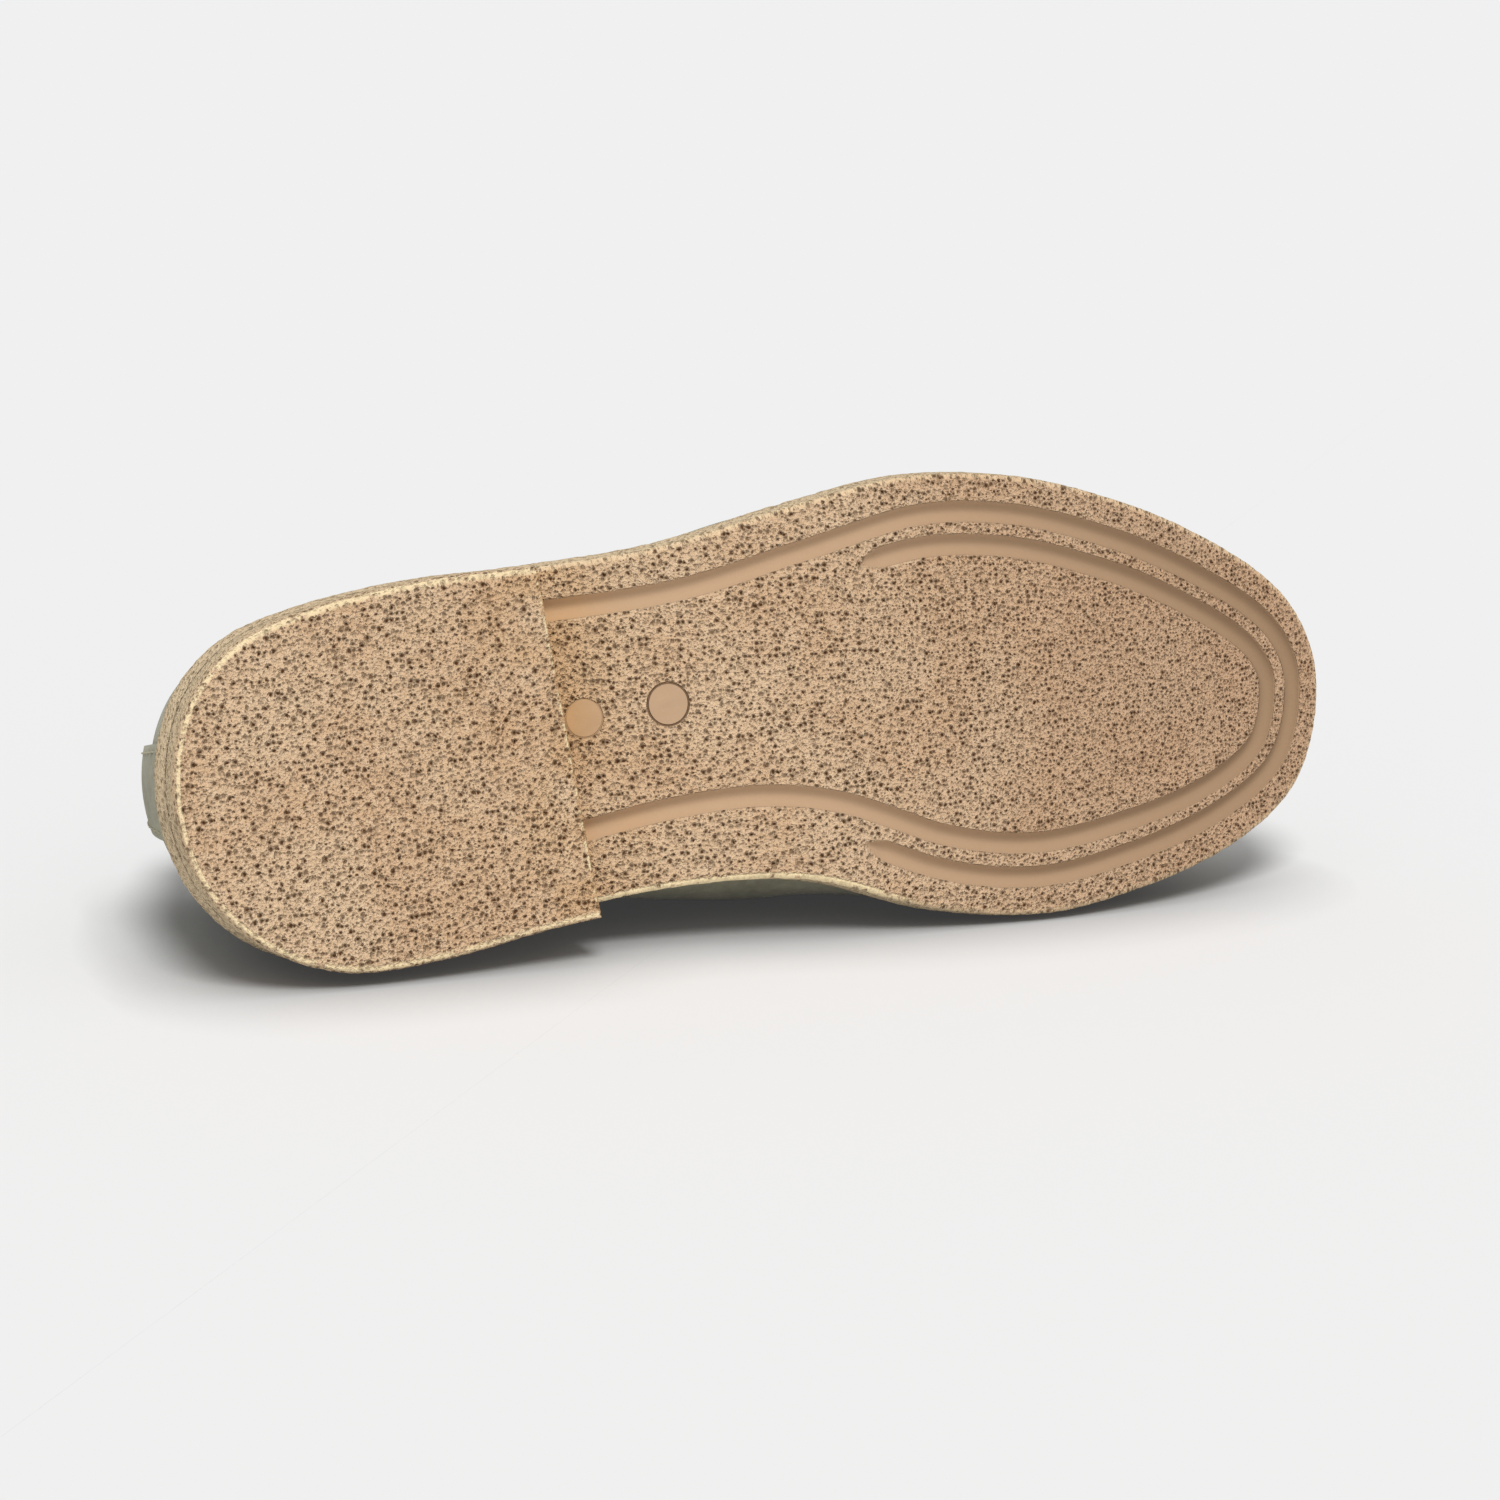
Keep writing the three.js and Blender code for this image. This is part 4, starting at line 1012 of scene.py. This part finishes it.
def seam_share(t):
    """Half the seam's width as a share of the straight line from the wall's foot to its rim."""
    return SEAM_WIDTH / 2 / np.linalg.norm(wall_curve(t, 1.0) - wall_curve(t, 0.0), axis=-1)


def seam_rise(t):
    """Height of the seam: nothing under the strap, full in front of it."""
    return SEAM_HEIGHT * ease((along_of(t) - THROAT_AT - 0.04) / 0.05)


def rim_length(t):
    """Length along the rim from the toe, towards the inner side positive."""
    steps = np.linspace(0, TURN, 2001)
    rim = wall_curve(steps, 1.0)
    run = np.concatenate([[0], np.cumsum(np.linalg.norm(np.diff(rim, axis=0), axis=-1))])
    return np.interp(np.pi, steps, run) - np.interp(np.mod(t, TURN), steps, run)


def pleat(t, v):
    """Gathers of the wall: rounded bulges between sharp creases, strongest at the seam and fading
    downwards. Returns the push outwards in millimetres and how deep in a crease the point lies,
    which sets the painted shade in the creases."""
    place = rim_length(t) / PLEAT_PITCH
    wave = np.abs(np.sin(np.pi * place))
    which = np.floor(place).astype(int)
    reach = 8.0 + 5.0 * np.random.default_rng(11).random(200)[which % 200]
    below = (1 - v) * np.linalg.norm(wall_curve(t, 1.0) - wall_curve(t, 0.0), axis=-1)
    at_toe = ease((along_of(folded(np.mod(t, TURN))) - 0.66) / 0.1)
    strength = at_toe * np.exp(-((below / reach) ** 1.5))
    return 1.1 * strength * (wave**0.6 - 0.65), strength * np.clip(1 - wave / 0.45, 0, 1)


def upper_section(t):
    """Outer section at each t: up the wall, over the seam's ridge and in to the apron's edge."""
    t = t[:, None]
    share = 1.3 * seam_share(t)
    v = np.linspace(0, 1, 36)[None] * (1 - share)
    push, crease = pleat(t, v)
    slack = 0.25 * lumps(wall_curve(t, v), 14.0, 21) * np.sin(np.pi * v) ** 0.5
    wall = wall_point(t, v, push + slack)
    q = np.linspace(0, 1, 13)[None, 1:, None]
    start, corner = wall[:, -1:], wall_curve(t, np.ones_like(t))
    inset = SEAM_WIDTH / 2
    over = near_rim(t, inset * np.ones_like(t))
    edge = wall_point(t, np.ones_like(t), -1.1)
    in_front = ease((folded(t) - throat_angle + 0.03) / 0.03)[..., None]
    end = mix(edge, over, in_front)
    ridge = start * (1 - q) ** 2 + 2 * corner * q * (1 - q) + end * q**2
    out = unit(wall_normal(t, np.ones_like(t)) + np.array([0.0, 0.0, 1.0]))
    scallop = np.abs(np.sin(np.pi * rim_length(t) / PLEAT_PITCH))[..., None] ** 0.6
    at_toe = ease((along_of(folded(t)) - 0.66) / 0.1)[..., None]
    height = seam_rise(t)[..., None] * np.sin(np.pi * q) ** 0.8 * (1 - 0.3 * at_toe * (1 - scallop))
    ridge = ridge + out * height
    # Painted shade in the creases between the seam's scallops, at the toe.
    ridge_crease = 0.7 * (at_toe * np.clip(1 - scallop / 0.6, 0, 1))[..., 0] * np.ones((1, q.shape[1]))
    return np.concatenate([wall, ridge], 1), np.concatenate([crease, ridge_crease], 1)


def upper_inside(t, depth):
    """Inner section at each t: up the wall at a depth under its outside."""
    t = t[:, None]
    top = np.where(folded(t) >= throat_angle - 1e-9, 1.0, 1 - 2 * seam_share(t))
    return wall_point(t, np.linspace(0, 1, 22)[None] * top, -depth)


def apron_rows(inset, offset, left, right, columns):
    """Rows across the top of the foot, from the throat to the toe, between two given borders."""
    angle = upper_t[THROAT_STATION : UPPER_STATIONS // 2 + 1, None]
    w = np.linspace(0, 1, columns + 1)[None]
    made = apron_point(angle, w, inset, offset)
    made[:, 0], made[:, -1] = left, right
    made[-1] = left[-1]
    return made


def make_upper():
    """The suede alone, a millimetre thick; the lining lies inside it."""
    outer, crease = upper_section(upper_t)
    inner = upper_inside(upper_t, 1.1)
    front = np.arange(THROAT_STATION, UPPER_STATIONS // 2 + 1)
    behind = np.arange(-THROAT_STATION, THROAT_STATION + 1)
    rim, lining_rim = outer[:, -1], inner[:, -1]
    top = apron_rows(SEAM_WIDTH / 2, 0.0, rim[front], rim[-front], 64)
    inset_w = np.linspace(0, 1, 65)[None]
    side = np.minimum(inset_w, 1 - inset_w) * np.linalg.norm(top[:, 0] - top[:, -1], axis=-1)[:, None]
    wave = np.abs(np.sin(np.pi * rim_length(upper_t[front]) / PLEAT_PITCH))[:, None]
    toe_share = ease((along_of(upper_t[front]) - 0.66) / 0.1)[:, None]
    gather = 0.35 * toe_share * np.exp(-side / 3.0) * ease(side / 0.8)
    slack = 0.3 * lumps(top, 16.0, 23) * ease(side / 6.0)
    top[1:-1, 1:-1, 2] += (slack + gather * (wave**0.6 - 0.7))[1:-1, 1:-1]
    under = apron_rows(UPPER_WALL, -1.1, lining_rim[front], lining_rim[-front], 64)
    return skin(
        "suede_upper",
        [
            grid(outer, closed=True, crease=crease),
            grid(inner, closed=True),
            grid(np.stack([inner[:, 0], outer[:, 0]], 1), closed=True),
            grid(np.stack([rim[behind], lining_rim[behind]], 1)),
            grid(top),
            grid(under),
            grid(np.stack([top[0], under[0]], 1)),
        ],
        suede,
        replaced="upper",
    )


def make_lining():
    """Thin leather inside the suede, over the whole wall and under the apron."""
    outer, inner = upper_inside(upper_t, 1.15), upper_inside(upper_t, UPPER_WALL)
    front = np.arange(THROAT_STATION, UPPER_STATIONS // 2 + 1)
    behind = np.arange(-THROAT_STATION, THROAT_STATION + 1)
    top = apron_rows(UPPER_WALL, -1.15, outer[front, -1], outer[-front, -1], 40)
    under = apron_rows(UPPER_WALL, -UPPER_WALL, inner[front, -1], inner[-front, -1], 40)
    return skin(
        "lining",
        [
            grid(outer, closed=True),
            grid(inner, closed=True),
            grid(np.stack([inner[:, 0], outer[:, 0]], 1), closed=True),
            grid(np.stack([outer[behind, -1], inner[behind, -1]], 1)),
            grid(top),
            grid(under),
            grid(np.stack([top[0], under[0]], 1)),
        ],
        lining_leather,
    )


upper = make_upper()
lining = make_lining()

# %% [markdown]
# ## The strap over the instep
# A narrow saddle of the same suede crosses the instep and is sewn down at both sides, half-way up
# the wall. Its lower end on the inner side is one of the three places on which the shoe lies. Its
# edges are drawn in the side view, so each row first finds where on the wall they lie.

# %% Strap
def saddle_edge_x(column, z):
    """Edge of the strap in the side view: a cubic through the table's points over the height."""
    height, x = saddle_edges[:, 0] * COLLAR_HEIGHT, saddle_edges[:, column] * SOLE_LENGTH
    slopes = np.gradient(x, height)
    k = np.clip(np.searchsorted(height, z) - 1, 0, len(height) - 2)
    span = height[k + 1] - height[k]
    s = np.clip((z - height[k]) / span, 0, 1)
    straight = mix(x[k], x[k + 1], s)
    bend = (1 - s) * (span * slopes[k] - (x[k + 1] - x[k])) - s * (span * slopes[k + 1] - (x[k + 1] - x[k]))
    return straight + s * (1 - s) * bend


def halved(low, high, too_low, rounds=32):
    """Value between low and high where too_low turns false, by halving the stretch again and again."""
    for _ in range(rounds):
        middle = (low + high) / 2
        short = too_low(middle)
        low, high = np.where(short, middle, low), np.where(short, high, middle)
    return (low + high) / 2


def band_x(point, across):
    """Where the strap lies at a point's height, across from its rear (0) to its front edge (1)."""
    z = point[..., 2]
    return mix(saddle_edge_x(1, z), saddle_edge_x(2, z), across)


def side_angle(v, across, to_t):
    """Angle at which the wall meets the band's line, for each v and place across."""
    low, high = np.full(v.shape, 1.0), np.full(v.shape, 2.5)

    def too_low(angle):
        point = wall_curve(to_t(angle), v)
        return point[..., 0] < band_x(point, across)

    return halved(low, high, too_low)


def side_rows(across, to_t, offset, rows):
    """Rows of the band on one wall, from its lower end up to the rim."""
    bottom = saddle_edges[0, 0] * COLLAR_HEIGHT

    def too_low(v):
        return wall_curve(to_t(side_angle(v, across, to_t)), v)[..., 2] < bottom

    ends = halved(np.zeros(across.shape), np.ones(across.shape), too_low, 18)
    v = mix(ends, 1.0, np.linspace(0, 1, rows)[:, None])
    t = to_t(side_angle(v, np.broadcast_to(across, v.shape), to_t))
    return wall_point(t, v, offset)


def top_rows(across, offset, rows):
    """Rows of the band over the top of the foot, from the outer to the inner side."""
    w = np.broadcast_to(np.linspace(1, 0, rows)[:, None], (rows, across.shape[-1]))
    low, high = np.full(w.shape, 1.0), np.full(w.shape, 2.6)

    def too_low(angle):
        point = apron_curve(angle, w, SEAM_WIDTH / 2)
        return point[..., 0] < band_x(point, across)

    return apron_point(halved(low, high, too_low), w, SEAM_WIDTH / 2, offset)


def saddle_sheet(offset):
    """Grid of the strap at an offset from the upper: outer side, top, inner side, then eased."""
    across = np.linspace(0, 1, 17)[None]
    made = np.concatenate([
        side_rows(across, lambda angle: TURN - angle, offset, 34),
        top_rows(across, offset, 60)[1:-1],
        side_rows(across, lambda angle: angle, offset, 34)[::-1],
    ])
    for _ in range(6):
        made[1:-1] = (made[:-2] + 2 * made[1:-1] + made[2:]) / 4
    return made


def grid_normals(points):
    """Cross product of a grid's steps along its rows and columns, with length one."""
    return unit(np.cross(np.gradient(points, axis=0), np.gradient(points, axis=1)))


saddle_outer, saddle_inner = saddle_sheet(SEAT + SADDLE_THICKNESS), saddle_sheet(SEAT)
strap = skin("suede_strap", slab(saddle_outer, saddle_inner), suede, replaced="saddle")

# %% [markdown]
# ## Thread
# A stitch is a short thread that dives into the leather at both ends. Each one here is a thin tube
# whose radius falls to nothing at its ends. One function lays stitches along a line, another lays
# them across the raised seam, one in each crease, as the hand-sewn seam has them.

# %% Stitches
def thread_material():
    """Waxed sage thread, a little paler than the suede, with its twist as a fine bump."""
    material, tree, shader, place = new_material("waxed_thread")
    twist = noise(tree, place, 4.0, 2.0).outputs[0]
    coloured = blended(tree, twist, light(150, 146, 120), light(190, 184, 158))
    tree.links.new(coloured, shader.inputs["Base Color"])
    bump = node(tree, "ShaderNodeBump", {"Height": twist, "Distance": 0.0002, "Strength": 0.8})
    tree.links.new(bump.outputs[0], shader.inputs["Normal"])
    shader.inputs["Roughness"].default_value = 0.65
    return material


thread = thread_material()


def tubes(paths, normals, radius, sides=6):
    """Tubes round paths (number, steps, 3): a ring square to the path at each step, its radius
    falling to nothing at both ends."""
    along = unit(np.gradient(paths, axis=1))
    beside = unit(np.cross(along, normals))
    above = np.cross(beside, along)
    steps = paths.shape[1]
    size = radius * np.sqrt(np.clip(1 - np.abs(np.linspace(-1, 1, steps)) ** 5, 0, 1))[None, :, None, None]
    turn = np.arange(sides) * TURN / sides
    ring = np.cos(turn)[:, None] * above[:, :, None] + np.sin(turn)[:, None] * beside[:, :, None]
    points = paths[:, :, None] + size * ring
    index = np.arange(points[..., 0].size).reshape(points.shape[:3])
    ahead = np.roll(index, -1, axis=2)
    faces = np.stack([index[:, :-1], index[:, 1:], ahead[:, 1:], ahead[:, :-1]], -1)
    return points.reshape(-1, 3), faces.reshape(-1, 4), {}


def along_line(line, values, run, places):
    """Values of a line read at places along its length."""
    return np.stack([np.interp(places, run, values[:, k]) for k in range(3)], -1)


def stitches(line, normals, length=2.5, gap=0.9, radius=0.26, margin=1.0):
    """Running stitches: each a low arch from hole to hole, with a gap before the next."""
    run = np.concatenate([[0], np.cumsum(np.linalg.norm(np.diff(line, axis=0), axis=-1))])
    starts = np.arange(margin, run[-1] - length - margin, length + gap)
    share = np.linspace(0, 1, 8)
    places = starts[:, None] + share * length
    out = unit(along_line(line, normals, run, places))
    lift = radius * (1.5 * np.sin(np.pi * share) ** 0.6 - 0.9)
    return tubes(along_line(line, line, run, places) + out * lift[None, :, None], out, radius)


def strap_stitches():
    """One row along each edge of the strap, and one across each of its ends."""
    normals = grid_normals(saddle_outer)
    middle = np.array([150.0, 0.0, 45.0])
    outward = np.sign(np.sum(normals * (saddle_outer - middle), -1, keepdims=True))
    normals = normals * outward
    rows = [2, -3]
    made = [stitches(saddle_outer[2:-2, k], normals[2:-2, k]) for k in rows]
    made += [stitches(saddle_outer[k, 2:-2], normals[k, 2:-2], margin=0.0) for k in (3, -4)]
    return made


def seam_stitches():
    """Threads over the ridge, one in each crease, from the wall side to the apron side."""
    places = np.arange(-17, 18) * PLEAT_PITCH
    t = np.linspace(throat_angle + 0.2, TURN - throat_angle - 0.2, 4000)
    run = rim_length(t)
    at = np.interp(places, run[::-1], t[::-1])
    at = at[(at > t[0] + 1e-3) & (at < t[-1] - 1e-3)]
    paths = upper_section(at)[0][:, -16:]
    inwards = unit(paths[:, -1:] - paths[:, :1])
    centre = (paths[:, :1] + paths[:, -1:]) / 2 - np.array([0, 0, 1.0])
    out = unit(paths - centre)
    paths = paths + out * 0.12
    paths[:, 0] -= out[:, 0] * 0.5
    paths[:, -1] -= out[:, -1] * 0.5
    return [tubes(paths, out, 0.36)]


strap_thread = skin("strap_stitches", strap_stitches(), thread)
seam_thread = skin("seam_stitches", seam_stitches(), thread)

# %% [markdown]
# ## Trim
# A narrow strip covers the seam at the back of the heel, a strip of softer leather is folded over
# the top line and sewn through, a tongue lies under the strap, and a leather sock covers the sole
# inside.

# %% Back strip, binding, tongue and insole
def back_strip_sheet(offset):
    """Rows up the back of the wall; each reaches to the strip's half width at its height."""
    foot = sole_top_at(0.0)
    top = foot + COLLAR_HEIGHT - BINDING_DEPTH - 2 * SEAT
    heights = np.array([foot - 1, mix(foot, top, 0.6), top - 2, top])
    halves = np.array([1, 0.8, 0.66, 0.5]) * BACK_STRIP_WIDTH / 2
    z = np.linspace(foot + 2 * SEAT, top, 40)[:, None]
    across = np.linspace(-1, 1, 25)[None]
    t = np.zeros((40, 25))
    for _ in range(4):
        v = halved(np.zeros(t.shape), np.ones(t.shape), lambda v: wall_point(t, v, offset)[..., 2] < z, 20)
        far = np.abs(across) * np.interp(z, heights, halves)
        sign = np.where(across > 0, 1, -1)
        t = halved(
            np.zeros(t.shape), np.full(t.shape, 1.0),
            lambda a: np.abs(wall_point(np.mod(sign * a, TURN), v, offset)[..., 1]) < far, 20,
        )
        t = np.mod(sign * t, TURN)
    return wall_point(t, v, offset)


def binding_sheet(path):
    """The folded strip's section carried along the top line, from the strap round the heel."""
    ends = []
    for to_t in (lambda a: TURN - a, lambda a: a):
        low, high = np.array(1.0), np.array(2.2)

        def too_low(angle):
            point = wall_curve(to_t(angle), 1.0)
            return point[..., 0] < saddle_edge_x(1, point[..., 2]) - 2 * SEAT

        ends.append(float(halved(low, high, too_low)))
    t = np.mod(np.linspace(-ends[0], ends[1], 420), TURN)[:, None]
    height = np.linalg.norm(wall_curve(t, 1.0) - wall_curve(t, 0.0), axis=-1)
    out, down = path[None, :, 0], path[None, :, 1]
    return wall_point(t, 1 - down / height, np.broadcast_to(out, (420, len(path))))


def folded_path(near, width, steps=9):
    """Section of the fold: down the outside, over the edge in a half circle and down the inside."""
    reach = (width + 2 * near) / 2
    middle = -width / 2
    straight = np.linspace(BINDING_DEPTH, reach * 0.4, 8)
    turn = np.linspace(0, np.pi, steps)
    outside = np.stack([np.full(8, middle + reach), straight], 1)
    bend = np.stack([middle + reach * np.cos(turn), reach * 0.4 - reach * 0.75 * np.sin(turn)], 1)
    inside = np.stack([np.full(8, middle - reach), straight[::-1]], 1)
    return np.concatenate([outside, bend[1:-1], inside])


binding_outer = binding_sheet(folded_path(SEAT + BINDING_THICKNESS, UPPER_WALL))
binding_inner = binding_sheet(folded_path(SEAT, UPPER_WALL))
binding = skin(
    "top_line_binding", slab(binding_outer, binding_inner), suede_edge, replaced="collar_binding"
)

strip_outer, strip_inner = back_strip_sheet(SEAT + BACK_STRIP_THICKNESS), back_strip_sheet(SEAT)
back_strip = skin(
    "heel_back_strip", slab(strip_outer, strip_inner), suede, replaced="back_strip"
)


def outwards(points, centre):
    """Normals of a grid, turned away from a point inside the shoe."""
    normals = grid_normals(points)
    return normals * np.sign(np.sum(normals * (points - np.array(centre)), -1, keepdims=True))


def trim_stitches():
    """Rows along both edges of the back strip and along the binding's lower edge."""
    strip_out = outwards(strip_outer, (60.0, 0.0, 45.0))
    made = [stitches(strip_outer[:, k], strip_out[:, k]) for k in (2, -3)]
    binding_out = outwards(binding_outer, (60.0, 0.0, 50.0))
    made.append(stitches(binding_outer[:, 2], binding_out[:, 2]))
    return made


trim_thread = skin("trim_stitches", trim_stitches(), thread)


def tongue_sheet(offset):
    """Rows forwards from the tongue's rounded end; w keeps it clear of the walls."""
    share = np.linspace(0, 1, 40)[:, None]
    angle = angle_of(mix(TONGUE_END, TONGUE_ROOT, share))
    half = mix(0.2, 0.38, np.sqrt(np.clip(1 - (1 - np.clip(share / 0.3, 0, 1)) ** 2, 0, 1)))
    w = 0.5 + half * np.linspace(-1, 1, 31)[None]
    return apron_point(angle, w, UPPER_WALL, offset)


tongue_top = -UPPER_WALL - 2 * SEAT
tongue = skin(
    "suede_tongue",
    slab(tongue_sheet(tongue_top), tongue_sheet(tongue_top - TONGUE_THICKNESS)),
    suede,
    replaced="tongue",
)


def make_insole():
    """Loops of the sock from its underside round its edge to its top, closed by rows across."""
    t = (np.arange(400) * TURN / 400)[:, None]
    edge = FEATHER_INSET + UPPER_WALL + 2 * SEAT
    inset = edge + np.array([[0, 0, 0.1, 0.35, 0.9]])
    up = SEAT + np.array([[0, 0.6, 0.82, 0.95, 1]]) * INSOLE_THICKNESS
    plan, _ = inset_point(t, inset)
    side = lifted(plan, sole_top_at(plan[..., 0]) + up)
    rows = np.arange(201)
    w = np.linspace(0, 1, 41)[None, :, None]
    parts = [grid(side, closed=True)]
    for k, height in ((0, SEAT), (-1, SEAT + INSOLE_THICKNESS)):
        loop = side[:, k]
        face = mix(loop[rows][:, None], loop[-rows][:, None], w)
        hollow = 0.5 * (4 * w * (1 - w))[..., 0] if k == -1 else 0.0
        level = sole_top_at(face[..., 0]) + height - hollow
        face[1:-1, 1:-1, 2] = level[1:-1, 1:-1]
        parts.append(grid(face))
    return skin("insole_sock", parts, insole_leather, replaced="insole")


insole = make_insole()

# %% [markdown]
# ## Floor and light
# A pale floor without an end, an even studio dome and one soft lamp, high and in front of the sole,
# aslant enough to bring out its pits. The two together, with a faint painted glow from the floor
# itself, bring the floor to the grey of the backdrop. A contact shadow is painted into the floor's
# colour where the shoe stands close over it, by the share of the sky that it hides within a hand's breadth.

# %% Floor and light
BACKDROP = 0.871
FLOOR_SHARE = 0.8
LAMP_STRENGTH = 2.3
LAMP_SPREAD = 22
LAMP_FROM = unit(np.array([-0.15, -0.48, 0.86]))
CONTACT_REACH = 0.03
CONTACT_DEPTH = 1.0
CONTACT_DARKEST = 0.1
FLOOR_GLOW = 0.038


def set_floor():
    """A square sheet, wide enough to reach the horizon in every view."""
    reach = 30.0
    mesh = bpy.data.meshes.new("floor")
    corners = [(-reach, -reach, 0), (reach, -reach, 0), (reach, reach, 0), (-reach, reach, 0)]
    mesh.from_pydata(corners, [], [(0, 1, 2, 3)])
    made = bpy.data.objects.new("floor", mesh)
    bpy.context.scene.collection.objects.link(made)
    material = bpy.data.materials.new("floor_paper")
    material.use_nodes = True
    shader = material.node_tree.nodes["Principled BSDF"]
    tree = material.node_tree
    # Painted contact shadow: the floor's colour darkened by the share of nearby sky that the shoe hides.
    open_sky = node(tree, "ShaderNodeAmbientOcclusion", {"Distance": CONTACT_REACH}, samples=16).outputs["AO"]
    deepened = sums(tree, "POWER", open_sky, CONTACT_DEPTH)
    kept = sums(tree, "MULTIPLY_ADD", deepened, 1 - CONTACT_DARKEST, CONTACT_DARKEST)
    shade = sums(tree, "MULTIPLY", kept, FLOOR_SHARE)
    tree.links.new(shade, shader.inputs["Base Color"])
    shader.inputs["Roughness"].default_value = 0.9
    shader.inputs["Specular IOR Level"].default_value = 0.0
    # Painted glow: the floor sends out a faint grey of its own, so the painted shadow never turns black.
    shader.inputs["Emission Color"].default_value = (1.0, 1.0, 1.0, 1.0)
    shader.inputs["Emission Strength"].default_value = FLOOR_GLOW
    mesh.materials.append(material)
    return made


def set_lights():
    """Dome strength is what the lamp and the floor's painted glow leave over, divided by the floor's share of
    light sent back.
    """
    lamp = bpy.data.lights.new("softbox", "SUN")
    lamp.energy = LAMP_STRENGTH
    lamp.angle = np.radians(LAMP_SPREAD)
    made = bpy.data.objects.new("softbox", lamp)
    bpy.context.scene.collection.objects.link(made)
    x = unit(np.cross([0.0, 1.0, 0.0], LAMP_FROM))
    placed = np.eye(4)
    placed[:3, :3] = np.stack([x, np.cross(LAMP_FROM, x), LAMP_FROM], 1)
    made.matrix_world = Matrix(placed)
    dome = (BACKDROP - FLOOR_GLOW - FLOOR_SHARE * LAMP_STRENGTH * LAMP_FROM[2] / np.pi) / FLOOR_SHARE
    world = bpy.data.worlds.new("studio")
    world.use_nodes = True
    tree = world.node_tree
    tree.nodes.clear()
    seen = node(tree, "ShaderNodeBackground", {"Color": (BACKDROP,) * 3 + (1,), "Strength": 1.0})
    felt = node(tree, "ShaderNodeBackground", {"Color": (dome,) * 3 + (1,), "Strength": 1.0})
    path = node(tree, "ShaderNodeLightPath")
    mixed = {0: path.outputs["Is Camera Ray"], 1: felt.outputs[0], 2: seen.outputs[0]}
    both = node(tree, "ShaderNodeMixShader", mixed)
    node(tree, "ShaderNodeOutputWorld", {"Surface": both.outputs[0]})
    bpy.context.scene.world = world
    bpy.context.scene.view_settings.view_transform = "Standard"
    print("dome:", round(float(dome), 3), "lamp:", LAMP_STRENGTH)


set_floor()
set_lights()

# %% [markdown]
# ## Finish

# %% Finish
import json
